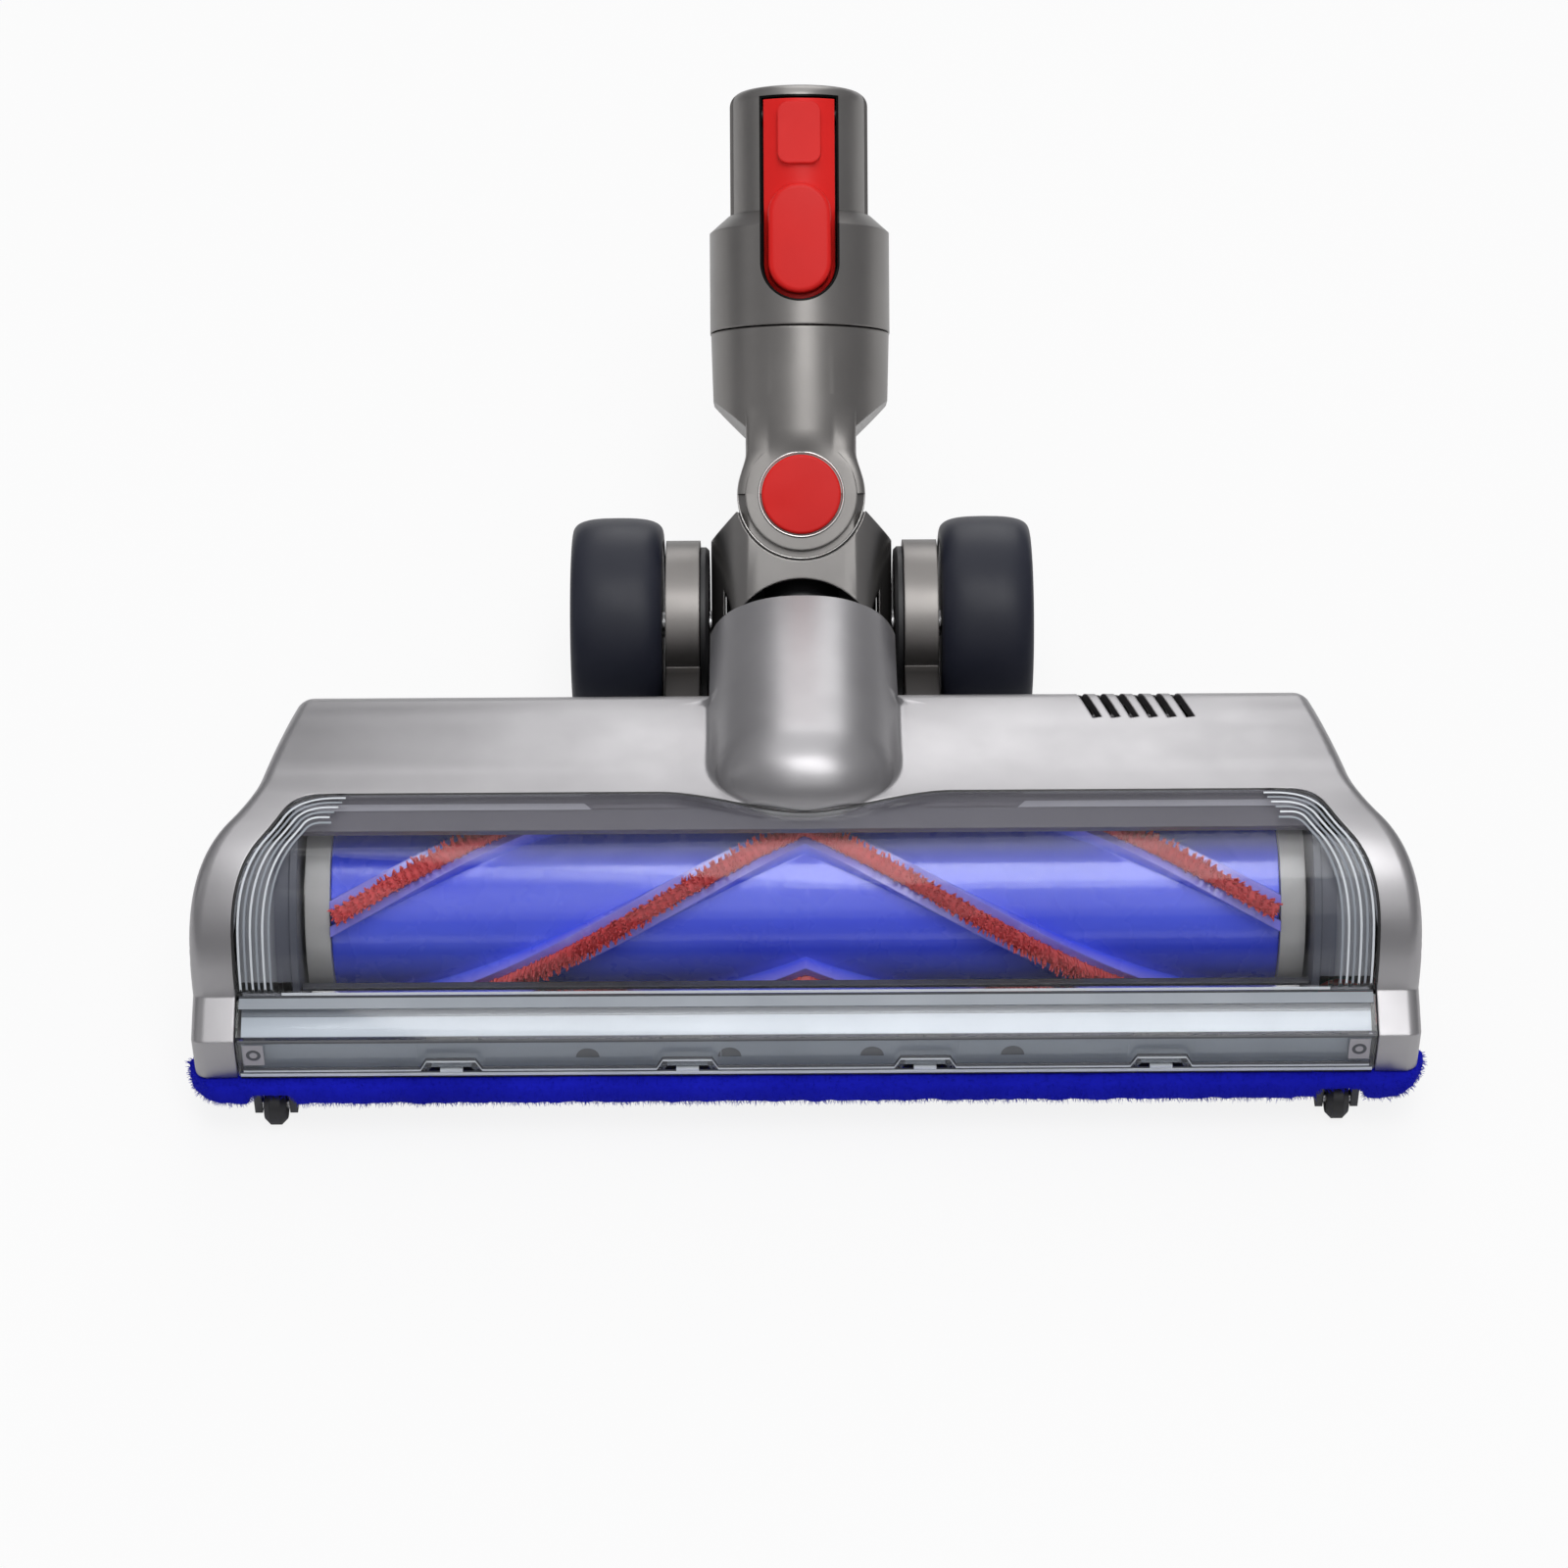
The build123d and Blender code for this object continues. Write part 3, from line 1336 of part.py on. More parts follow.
lift = Location((0, 0, axis_height))
pieces = {
    "main_housing": main_housing.part,
    "brush_chamber": brush_chamber.part,
    "window": window.part,
    "front_bumper": front_bumper.part,
    "sole_plate": sole_plate.part,
    "felt_strip": felt_strip.part,
    "front_roller_left": front_roller_left.part,
    "front_roller_right": front_roller_right.part,
    "roller_axle_left": roller_axle_left.part,
    "roller_axle_right": roller_axle_right.part,
    "brush_tube": brush_tube.part.moved(lift),
    "bristle_row_1": row_strips[0].part.moved(lift),
    "bristle_row_2": row_strips[1].part.moved(lift),
    "bristle_row_3": row_strips[2].part.moved(lift),
    "bristle_row_4": row_strips[3].part.moved(lift),
    "brush_collar_left": brush_collar_left.part.moved(lift),
    "brush_collar_right": brush_collar_right.part.moved(lift),
    "drive_dog": drive_dog.part.moved(lift),
    "motor_mount": motor_mount.part,
    "motor_can": motor_can.part,
    "gearbox": gearbox.part,
    "bearing_carrier": bearing_carrier.part,
    "brush_bearing": brush_bearing.part,
    "coin_lock": coin_lock.part,
    "control_board": control_board.part,
    "wheel_arm_left": wheel_arm_left.part,
    "wheel_arm_right": wheel_arm_right.part,
    "wheel_hub_left": wheel_hub_left.part,
    "wheel_hub_right": wheel_hub_right.part,
    "tyre_left": tyre_left.part,
    "tyre_right": tyre_right.part,
    "axle_left": axle_left.part,
    "axle_right": axle_right.part,
    "pivot_bush_left": pivot_bush_left.part,
    "pivot_bush_right": pivot_bush_right.part,
    "yoke": yoke.part,
    "lower_neck": lower_neck.part,
    "swivel_pins": swivel_pins.part,
    "swivel_cap": swivel_cap.part,
    "connector": connector.part,
    "contact_block": contact_block.part,
    "contact_pins": contact_pins.part,
    "release_latch": release_latch.part,
    "latch_pin": latch_pin.part,
    "latch_spring": latch_spring.part,
    "duct_hose": duct_hose.part,
    "hose_cuff": hose_cuff.part,
    "neck_cuff": neck_cuff.part,
    "sole_screws": sole_screws.part,
    "arm_screws": arm_screws.part,
}

# The base centre of the whole assembly becomes the origin

boxes = [piece.bounding_box() for piece in pieces.values()]
front_end = min(box.min.Y for box in boxes)
back_end = max(box.max.Y for box in boxes)
base_shift = -(front_end + back_end) / 2
os.makedirs("parts", exist_ok=True)
for piece_name, piece in pieces.items():
    placed = piece.moved(Location((0, base_shift, 0)))
    placed.label = piece_name
    export_step(placed, "parts/" + piece_name + ".step")
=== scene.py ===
import json
import math
import random

import bpy
from mathutils import Matrix, Vector, noise


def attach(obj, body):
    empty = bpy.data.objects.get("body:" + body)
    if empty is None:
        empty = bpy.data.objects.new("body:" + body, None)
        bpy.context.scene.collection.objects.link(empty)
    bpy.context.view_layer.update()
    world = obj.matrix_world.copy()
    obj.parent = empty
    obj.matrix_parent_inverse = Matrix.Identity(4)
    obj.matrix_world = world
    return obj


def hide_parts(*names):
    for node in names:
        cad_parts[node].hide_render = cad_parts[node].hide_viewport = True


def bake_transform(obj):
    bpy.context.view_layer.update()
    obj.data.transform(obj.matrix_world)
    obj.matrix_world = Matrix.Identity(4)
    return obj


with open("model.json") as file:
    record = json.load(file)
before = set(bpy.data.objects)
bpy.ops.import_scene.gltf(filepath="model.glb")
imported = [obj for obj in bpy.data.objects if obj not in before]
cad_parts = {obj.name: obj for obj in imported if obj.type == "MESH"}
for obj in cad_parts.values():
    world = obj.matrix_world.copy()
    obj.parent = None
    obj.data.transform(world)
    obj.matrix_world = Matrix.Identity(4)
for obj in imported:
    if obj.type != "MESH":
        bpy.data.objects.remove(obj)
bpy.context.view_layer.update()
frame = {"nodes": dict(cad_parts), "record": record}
nodes = frame["nodes"]
scene = bpy.context.scene
random.seed(7)

# Shared places: design sizes are in millimetres, the frame of the part is in metres

MM = 0.001
SHIFT = -71.15
LEAN = math.radians(42.0)
UP = Vector((0, math.sin(LEAN), math.cos(LEAN)))
OUT = Vector((0, -math.cos(LEAN), math.sin(LEAN)))
SIDE = Vector((1, 0, 0))
SIDES = (("left", -1), ("right", 1))
PITCH_Y, PITCH_Z = 91.7, 24.0
BRUSH_HEIGHT, BARREL_RADIUS = 25.5, 31.0
CAP_HEIGHT = 27.8


def at(x, y, z):
    """A point from design sizes: x to the right, y back from the brush axis, z up from the floor."""
    return Vector((x, y + SHIFT, z)) * MM


PITCH = at(0, PITCH_Y, PITCH_Z)
BRUSH = at(0, 0, BRUSH_HEIGHT)


def neck(v, w=0.0, x=0.0):
    """A point of the leaning neck: v along it, w out of its front, x to the right."""
    return PITCH + UP * (v * MM) + OUT * (w * MM) + SIDE * (x * MM)


# Shader nodes


class Nodes:
    """The node tree of a material or world, with short ways to fill it."""

    def __init__(self, owner, output="ShaderNodeOutputMaterial"):
        self.owner = owner
        owner.use_nodes = True
        self.tree = owner.node_tree
        self.tree.nodes.clear()
        self.out = self.add(output)
        self.coords = self.add("ShaderNodeTexCoord").outputs

    def add(self, kind, feeds=(), **values):
        """A new node; feeds gives its sockets a fixed value or another node's output."""
        node = self.tree.nodes.new(kind)
        for key, value in values.items():
            setattr(node, key, value)
        for key, value in dict(feeds).items():
            if isinstance(value, bpy.types.NodeSocket):
                self.tree.links.new(value, node.inputs[key])
            else:
                node.inputs[key].default_value = value
        return node

    def surface(self, shader):
        self.tree.links.new(shader, self.out.inputs["Surface"])
        return self.owner

    def split(self, coords="Object"):
        return self.add("ShaderNodeSeparateXYZ", {"Vector": self.coords[coords]}).outputs

    def noise(self, scale, detail=3.0, stretch=None):
        place = self.coords["Object"]
        if stretch:
            place = self.add("ShaderNodeMapping", {"Vector": place, "Scale": stretch}).outputs["Vector"]
        feeds = {"Vector": place, "Scale": scale, "Detail": detail, "Roughness": 0.55}
        return self.add("ShaderNodeTexNoise", feeds).outputs["Fac"]

    def ramp(self, share, low, high, start=0.3, end=0.7, between=()):
        node = self.add("ShaderNodeValToRGB", {"Fac": share})
        stops = node.color_ramp.elements
        stops[0].position, stops[0].color = start, (*low, 1)
        stops[1].position, stops[1].color = end, (*high, 1)
        for place, colour in between:
            stops.new(place).color = (*colour, 1)
        return node.outputs["Color"]

    def span(self, value, low, high, start=0.25, end=0.75):
        feeds = {"Value": value, "From Min": start, "From Max": end, "To Min": low, "To Max": high}
        return self.add("ShaderNodeMapRange", feeds).outputs["Result"]

    def bump(self, height, strength, distance, edge=0.0):
        """A bumped normal, with sharp edges rounded in the shading where edge is a radius."""
        feeds = {"Height": height, "Strength": strength, "Distance": distance}
        if edge:
            bevel = self.add("ShaderNodeBevel", {"Radius": edge}, samples=6)
            feeds["Normal"] = bevel.outputs["Normal"]
        return self.add("ShaderNodeBump", feeds).outputs["Normal"]

    def maths(self, kind, first, second=0.0):
        return self.add("ShaderNodeMath", {0: first, 1: second}, operation=kind).outputs["Value"]

    def vectors(self, kind, first, second=(0, 0, 0)):
        return self.add("ShaderNodeVectorMath", {0: first, 1: second}, operation=kind).outputs

    def mix_colours(self, share, first, second):
        feeds = {"Factor": share, "A": first, "B": second}
        return self.add("ShaderNodeMix", feeds, data_type="RGBA").outputs["Result"]

    def mix_shaders(self, share, first, second):
        return self.add("ShaderNodeMixShader", {"Fac": share, 1: first, 2: second}).outputs["Shader"]

    def principled(self, **values):
        """The main shader; a socket's name is written with underscores for its spaces."""
        feeds = {key.replace("_", " "): value for key, value in values.items()}
        return self.add("ShaderNodeBsdfPrincipled", feeds).outputs["BSDF"]


def fresh(name):
    return Nodes(bpy.data.materials.new(name))


# Materials

CLOUD, GLOSS, GRAIN, GRAIN_DEPTH = 38.0, 90.0, 2600.0, 0.00004
NECK_LOW, NECK_HIGH, NECK_ROUGH = (0.24, 0.23, 0.221), (0.275, 0.264, 0.254), (0.32, 0.38)
# Sizes of the latch pocket whose walls are painted near-black as shade
POCKET_CENTRE, POCKET_HALF, POCKET_TOP, POCKET_FLOOR = 79.2, 8.8, 116.8, 7.5
TUBE_RADIUS, RIDGE_RADIUS = 19.3, 21.5
# Where the painted shade on the wheel arm ends and the drum's own silver starts, in metres of y
ARM_END, DRUM_START = 0.001, 0.0045
# Where the painted shade and painted light on the chamber's ends begin and end, in metres of |x|
WALL_START, WALL_END = 0.100, 0.112


def plastic(name, low, high, rough, metal=0.0, coat=0.0, edge=0.0, bump=0.1, grain=GRAIN, shine=0.5):
    """Plastic, paint or metal with a clouded colour, an uneven gloss and a fine grain."""
    n = fresh(name)
    return n.surface(n.principled(
        Base_Color=n.ramp(n.noise(CLOUD, 4.0), low, high),
        Roughness=n.span(n.noise(GLOSS), *rough),
        Normal=n.bump(n.noise(grain, 2.0), bump, GRAIN_DEPTH, edge),
        Metallic=metal, Coat_Weight=coat, Coat_Roughness=0.12, Specular_IOR_Level=shine))


def clear_plastic(name, tint, rough, ior):
    """Clear plastic that lets lamp light through, so what lies behind it is lit."""
    n = fresh(name)
    shader = n.principled(
        Base_Color=n.ramp(n.noise(30.0), [c * 0.97 for c in tint], tint),
        Roughness=n.span(n.noise(160.0), rough * 0.6, rough * 1.5),
        Normal=n.bump(n.noise(60.0, 2.0), 0.02, 0.0001),
        Transmission_Weight=1.0, IOR=ior)
    see_through = n.add("ShaderNodeBsdfTransparent", {"Color": (0.9, 0.91, 0.93, 1)}).outputs["BSDF"]
    ray = n.add("ShaderNodeLightPath").outputs
    passing = n.maths("MAXIMUM", ray["Is Shadow Ray"], ray["Is Diffuse Ray"])
    return n.surface(n.mix_shaders(passing, shader, see_through))


def ridged_blue():
    """Blue tube whose raised ridges are paler, told apart by their distance from the brush axis."""
    n = fresh("brush_blue")
    from_axis = n.vectors("SUBTRACT", n.coords["Object"], BRUSH)["Vector"]
    across = n.vectors("MULTIPLY", from_axis, (0, 1 / MM, 1 / MM))["Vector"]
    ridge = n.span(n.vectors("LENGTH", across)["Value"], 0.0, 1.0, TUBE_RADIUS, RIDGE_RADIUS)
    tube_blue = n.ramp(n.noise(30.0, 4.0, (0.35, 1.6, 1.6)), (0.05, 0.085, 0.90), (0.095, 0.15, 1.0))
    ridge_blue = n.ramp(n.noise(60.0), (0.20, 0.19, 0.84), (0.29, 0.27, 0.95))
    return n.surface(n.principled(
        Base_Color=n.mix_colours(ridge, tube_blue, ridge_blue),
        Roughness=n.span(n.noise(110.0), 0.22, 0.32),
        Normal=n.bump(n.noise(500.0, 3.0, (0.2, 1, 1)), 0.1, 0.0001, 0.0005),
        Coat_Weight=0.6, Coat_Roughness=0.1))


def arm_silver_painted_shade():
    """Silver drum with painted shade on its arm ahead of it, standing in for the shade between the wheel
    and the head.
    """
    n = fresh("arm_silver_painted_shade")
    dark, pale = (0.05, 0.047, 0.046), (0.20, 0.19, 0.182)
    # Painted shade: ahead of the drum the silver is painted dark.
    return n.surface(n.principled(
        Base_Color=n.ramp(n.split()["Y"], dark, pale, ARM_END, DRUM_START),
        Roughness=n.span(n.noise(GLOSS), 0.33, 0.4),
        Normal=n.bump(n.noise(GRAIN, 2.0), 0.06, GRAIN_DEPTH, 0.0005),
        Metallic=0.92))


def silver_with_pocket_shade():
    """Neck silver with the latch pocket painted black as shade, edged by a thin black line of painted shade
    round the latch.
    """
    n = fresh("silver_with_pocket_shade")
    from_pitch = n.vectors("SUBTRACT", n.coords["Object"], PITCH)["Vector"]
    rise, side, out = (n.vectors("DOT_PRODUCT", from_pitch, axis)["Value"] for axis in (UP, SIDE, OUT))
    below = n.maths("MINIMUM", n.maths("SUBTRACT", rise, POCKET_CENTRE * MM), 0.0)
    square = n.maths("ADD", n.maths("MULTIPLY", side, side), n.maths("MULTIPLY", below, below))
    inside = n.maths("LESS_THAN", square, (POCKET_HALF * MM) ** 2)
    inside = n.maths("MULTIPLY", inside, n.maths("LESS_THAN", rise, POCKET_TOP * MM))
    inside = n.maths("MULTIPLY", inside, n.maths("GREATER_THAN", out, POCKET_FLOOR * MM))
    silver = n.ramp(n.noise(CLOUD, 4.0), NECK_LOW, NECK_HIGH)
    # Painted shade: near-black inside the latch pocket and in the thin line round the latch.
    return n.surface(n.principled(
        Base_Color=n.mix_colours(inside, silver, (0.006, 0.006, 0.006, 1)),
        Roughness=n.span(n.noise(GLOSS), *NECK_ROUGH),
        Normal=n.bump(n.noise(GRAIN, 2.0), 0.06, GRAIN_DEPTH, 0.0006),
        Metallic=0.92, Coat_Weight=0.05, Coat_Roughness=0.12))


def chamber_painted_shade_and_light():
    """Grey chamber: a lip over the brush, end walls beside it darkened with painted shade, and painted
    light making it paler under the window ends.
    """
    n = fresh("chamber_painted_shade_and_light")
    aside = n.span(n.maths("ABSOLUTE", n.split()["X"]), 0.0, 1.0, WALL_START, WALL_END)
    walls = ((0.2, (0.075, 0.08, 0.10)), (0.62, (0.095, 0.10, 0.125)))
    # Painted shade on the end walls beside the brush, painted light paler under the window ends, set by
    # distance from the middle.
    return n.surface(n.principled(
        Base_Color=n.ramp(aside, (0.105, 0.098, 0.118), (0.34, 0.345, 0.36), 0.10, 0.75, walls),
        Roughness=n.span(n.noise(GLOSS), 0.38, 0.5),
        Normal=n.bump(n.noise(GRAIN, 2.0), 0.1, GRAIN_DEPTH, 0.0004)))


SILVER = plastic("silver_paint", (0.35, 0.342, 0.352), (0.39, 0.382, 0.392), (0.33, 0.39),
                 metal=0.92, coat=0.06, edge=0.0006, bump=0.06)
NECK_SILVER = plastic("neck_silver", NECK_LOW, NECK_HIGH, NECK_ROUGH,
                      metal=0.92, coat=0.05, edge=0.0006, bump=0.06)
DARK_GREY = plastic("yoke_grey", (0.23, 0.222, 0.215), (0.28, 0.27, 0.262), (0.28, 0.34),
                    metal=0.92, edge=0.0005, bump=0.08)
SOLE_GREY = plastic("sole_grey", (0.045, 0.046, 0.05), (0.065, 0.066, 0.07), (0.4, 0.5),
                    edge=0.0004, bump=0.15)
BLACK = plastic("black_plastic", (0.010, 0.010, 0.011), (0.018, 0.018, 0.02), (0.38, 0.5),
                edge=0.0004, bump=0.12)
HOSE_BLACK = plastic("hose_black", (0.008, 0.008, 0.009), (0.014, 0.014, 0.015), (0.34, 0.5), bump=0.15)
RED_GLOSS = plastic("red_gloss", (0.74, 0.014, 0.012), (0.82, 0.02, 0.017), (0.36, 0.44),
                    edge=0.0005, bump=0.06, shine=0.22)
TYRE = plastic("tyre_rubber", (0.014, 0.0155, 0.027), (0.021, 0.0235, 0.036), (0.36, 0.44),
               edge=0.0005, bump=0.2, grain=1500.0, shine=0.27)
RED_BRISTLE = plastic("red_bristle", (0.60, 0.045, 0.05), (0.86, 0.13, 0.13), (0.5, 0.7),
                      bump=0.2, grain=4000.0)
# Painted highlight: bright metal for the thin rings that stand in for the glint on the neck's disc edges
EDGE_HIGHLIGHT = plastic("painted_edge_highlight", (0.70, 0.68, 0.66), (0.78, 0.76, 0.74), (0.2, 0.28),
                      metal=0.9, bump=0.04)
STEEL = plastic("bright_steel", (0.52, 0.52, 0.53), (0.60, 0.60, 0.61), (0.22, 0.32),
                metal=1.0, edge=0.0003, bump=0.05)
BRASS = plastic("brass", (0.60, 0.45, 0.18), (0.70, 0.54, 0.24), (0.2, 0.3),
                metal=1.0, edge=0.0002, bump=0.05)
BOARD = plastic("board_green", (0.01, 0.10, 0.03), (0.015, 0.13, 0.045), (0.35, 0.45),
                coat=0.2, edge=0.0002, bump=0.05)
FELT = plastic("felt_blue", (0.004, 0.006, 0.36), (0.008, 0.012, 0.52), (0.85, 0.95),
               bump=0.8, grain=1400.0, shine=0.15)
COLLAR = plastic("collar_cream", (0.46, 0.45, 0.42), (0.54, 0.53, 0.50), (0.3, 0.4),
                 coat=0.2, edge=0.0003, bump=0.08)
SLOPE_HIGHLIGHT = plastic("painted_slope_highlight", (0.62, 0.67, 0.72), (0.72, 0.77, 0.82), (0.3, 0.4))
FACE_LINER = plastic("face_liner", (0.27, 0.30, 0.34), (0.33, 0.36, 0.40), (0.35, 0.45))
LIP_DARK = plastic("lip_dark", (0.10, 0.09, 0.11), (0.14, 0.13, 0.15), (0.4, 0.5))
LIP_LIGHT = plastic("lip_light", (0.30, 0.29, 0.32), (0.36, 0.35, 0.38), (0.35, 0.45))
# Painted highlight (rim_light) and painted shade (rim_dark) for the trim lines on the clear bumper and
# window; also used on clip tabs, ribs, corner rings and bosses
RIM_LIGHT = plastic("rim_light", (0.62, 0.66, 0.70), (0.74, 0.78, 0.82), (0.2, 0.3), coat=0.3, bump=0.05)
RIM_DARK = plastic("rim_dark", (0.045, 0.048, 0.058), (0.07, 0.075, 0.085), (0.35, 0.45), bump=0.08)
CLEAR = clear_plastic("clear_window", (0.95, 0.955, 0.97), 0.03, 1.24)
CLEAR_BUMPER = clear_plastic("clear_bumper", (0.92, 0.94, 0.95), 0.05, 1.4)
BLUE = ridged_blue()
ARM_SILVER_PAINTED_SHADE = arm_silver_painted_shade()
POCKET_SHADE_SILVER = silver_with_pocket_shade()
CHAMBER_PAINTED_SHADE_AND_LIGHT = chamber_painted_shade_and_light()

# The look of each slot, and of the nodes that have a look of their own

LOOK = {
    "silver": SILVER, "clear": CLEAR, "dark": DARK_GREY, "grey": SOLE_GREY, "black": BLACK, "felt": FELT,
    "blue": BLUE, "red": RED_BRISTLE, "red_gloss": RED_GLOSS, "steel": STEEL, "brass": BRASS, "tyre": TYRE,
    "hose": HOSE_BLACK, "board": BOARD,
}
OWN = {
    "lower_neck": NECK_SILVER, "connector": POCKET_SHADE_SILVER, "front_bumper": CLEAR_BUMPER,
    "brush_chamber": CHAMBER_PAINTED_SHADE_AND_LIGHT, "wheel_arm_left": ARM_SILVER_PAINTED_SHADE, "wheel_arm_right": ARM_SILVER_PAINTED_SHADE,
    "latch_pin": BLACK, "brush_collar_left": COLLAR, "brush_collar_right": COLLAR,
}

# Smooth shading for the carried-over solids, sharp only at true edges

SHARP_ANGLE, WELD_DISTANCE = 28.0, 0.00001


def smooth_group():
    group = bpy.data.node_groups.new("smooth_by_angle", "GeometryNodeTree")
    for way in ("INPUT", "OUTPUT"):
        group.interface.new_socket("Geometry", in_out=way, socket_type="NodeSocketGeometry")
    start, end = group.nodes.new("NodeGroupInput"), group.nodes.new("NodeGroupOutput")
    drop = group.nodes.new("GeometryNodeRemoveAttribute")
    drop.inputs["Name"].default_value = "custom_normal"
    weld = group.nodes.new("GeometryNodeMergeByDistance")
    weld.inputs["Distance"].default_value = WELD_DISTANCE
    angle = group.nodes.new("GeometryNodeInputMeshEdgeAngle")
    test = group.nodes.new("FunctionNodeCompare")
    test.operation = "LESS_THAN"
    test.inputs["B"].default_value = math.radians(SHARP_ANGLE)
    faces = group.nodes.new("GeometryNodeSetShadeSmooth")
    edges = group.nodes.new("GeometryNodeSetShadeSmooth")
    edges.domain = "EDGE"
    group.links.new(start.outputs[0], drop.inputs["Geometry"])
    group.links.new(drop.outputs["Geometry"], weld.inputs["Geometry"])
    group.links.new(weld.outputs["Geometry"], faces.inputs["Geometry"])
    group.links.new(faces.outputs["Geometry"], edges.inputs["Geometry"])
    group.links.new(angle.outputs["Unsigned Angle"], test.inputs["A"])
    group.links.new(test.outputs["Result"], edges.inputs["Shade Smooth"])
    group.links.new(edges.outputs["Geometry"], end.inputs[0])
    return group


SMOOTH = smooth_group()
slot_of = {s["node"]: s["material_slot"] for s in frame["record"]["subparts"]}
for name, obj in nodes.items():
    obj.data.materials.clear()
    obj.data.materials.append(OWN.get(name, LOOK[slot_of[name]]))
    obj.modifiers.new("smooth", "NODES").node_group = SMOOTH

# Building helpers


def clamp(t):
    return min(max(t, 0.0), 1.0)


def ease(t):
    t = clamp(t)
    return t * t * (3 - 2 * t)


def soft_max(a, b, k):
    """The larger of two heights, rounded over a width k where they cross."""
    h = max(k - abs(a - b), 0.0) / k
    return max(a, b) + h * h * k * 0.25


def circle(count):
    return [(math.cos(2 * math.pi * k / count), math.sin(2 * math.pi * k / count)) for k in range(count)]


def skin_faces(rows, cols, round_rows=False, round_cols=False, start=0):
    """Four-sided faces over a grid of points, closed round its rows or columns where asked."""
    faces = []
    for j in range(rows if round_rows else rows - 1):
        here, there = start + j * cols, start + (j + 1) % rows * cols
        for i in range(cols if round_cols else cols - 1):
            k = (i + 1) % cols
            faces.append((here + i, here + k, there + k, there + i))
    return faces


def bar_faces(rows, cols):
    """The faces of a solid bar whose sections are the rows of a grid."""
    last = (rows - 1) * cols
    ends = [tuple(range(cols - 1, -1, -1)), tuple(range(last, last + cols))]
    return skin_faces(rows, cols, round_cols=True) + ends


def piece(name, verts, faces, mat, body, smooth=True, stands_for=()):
    mesh = bpy.data.meshes.new(name)
    mesh.from_pydata([tuple(v) for v in verts], [], faces)
    mesh.validate()
    mesh.materials.append(mat)
    if smooth:
        mesh.shade_smooth()
    obj = bpy.data.objects.new(name, mesh)
    scene.collection.objects.link(obj)
    if body:
        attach(obj, body)
    if stands_for:
        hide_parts(*stands_for)
    return obj


def block(name, low, high, mat, place=at, body="head"):
    """A box between two corners; place turns its sizes into points."""
    (x0, y0, z0), (x1, y1, z1) = low, high
    verts = [place(x, y, z) for z in (z0, z1) for x, y in ((x0, y0), (x1, y0), (x1, y1), (x0, y1))]
    return piece(name, verts, bar_faces(2, 4), mat, body, smooth=False)


def strip(name, section, half, mat):
    """A thin straight strip from side to side, with a closed (y, z) section."""
    verts = [at(x, y, z) for x in (-half, half) for y, z in section]
    return piece(name, verts, bar_faces(2, len(section)), mat, "head", smooth=False)


# Brush bar: rows of red bristle tufts in their helical slots

ROW_COUNT, ROW_ANGLE, ROW_TWIST, ROW_RADIUS = 4, 96.0, 140.0, 21.0
BRUSH_HALF, TUFT_END, TUFT_STEP, TUFT_LEAN = 97.0, 1.5, 0.72, 0.45
LANES, HAIRS = (-1.1, -0.55, 0.0, 0.55, 1.1), 2
HAIR_ROOT, HAIR_SHORT, HAIR_LONG = 18.9, 5.2, 5.95
ROOT_STEPS, ROOT_END = 130, 1.0
ROOT_SECTION = ((HAIR_ROOT, -1.3), (23.0, -1.35), (23.0, 1.35), (HAIR_ROOT, 1.3))


def row_frame(row, x):
    """The directions of a row at x: out of the brush, along the row and across it."""
    a = math.radians(ROW_ANGLE + 360.0 / ROW_COUNT * row + ROW_TWIST * abs(x) / BRUSH_HALF)
    radial = Vector((0, math.cos(a), math.sin(a)))
    around = Vector((0, -math.sin(a), math.cos(a)))
    turn = math.radians(ROW_TWIST) / BRUSH_HALF * ROW_RADIUS * (1 if x >= 0 else -1)
    along = (SIDE + around * turn).normalized()
    return radial, along, radial.cross(along)


def hair(rng, x, lane, lean, radial, along, across):
    """The points of a three-sided hair at its base, its middle and its tip."""
    base = BRUSH + (SIDE * (x + rng.uniform(-0.35, 0.35)) + radial * HAIR_ROOT
                    + across * (lane + rng.uniform(-0.2, 0.2))) * MM
    length = rng.uniform(HAIR_SHORT, HAIR_LONG)
    drift = across * (lane * 0.55 + rng.uniform(-0.35, 0.35)) + along * (lean + rng.uniform(-0.4, 0.4))
    middle = base + (radial * length * 0.55 + drift * 0.35) * MM
    tip = base + (radial * length + drift) * MM
    points = []
    for p, r in ((base, 0.3), (middle, 0.3), (tip, 0.2)):
        for k in range(3):
            a = 2.1 * k + rng.random()
            points.append(p + (across * math.cos(a) + along * math.sin(a)) * (r * MM))
    return points


def bristle_row(row):
    rng = random.Random(40 + row)
    verts, faces = [], []
    for i in range(int(2 * (BRUSH_HALF - TUFT_END) / TUFT_STEP) + 1):
        x = TUFT_END - BRUSH_HALF + i * TUFT_STEP
        axes = row_frame(row, x)
        lean = TUFT_LEAN if i % 2 else -TUFT_LEAN
        for lane in LANES:
            for _ in range(HAIRS):
                first = len(verts)
                verts += hair(rng, x, lane, lean, *axes)
                faces += skin_faces(3, 3, round_cols=True, start=first)
                faces.append((first + 6, first + 7, first + 8))
    first = len(verts)
    for i in range(ROOT_STEPS + 1):
        x = (BRUSH_HALF - ROOT_END) * (2.0 * i / ROOT_STEPS - 1.0)
        radial, along, across = row_frame(row, x)
        verts += [BRUSH + (SIDE * x + radial * reach + across * half) * MM for reach, half in ROOT_SECTION]
    faces += skin_faces(ROOT_STEPS + 1, len(ROOT_SECTION), start=first)
    return piece("bristles_%d" % (row + 1), verts, faces, RED_BRISTLE, "brush_bar",
                 stands_for=("bristle_row_%d" % (row + 1),))


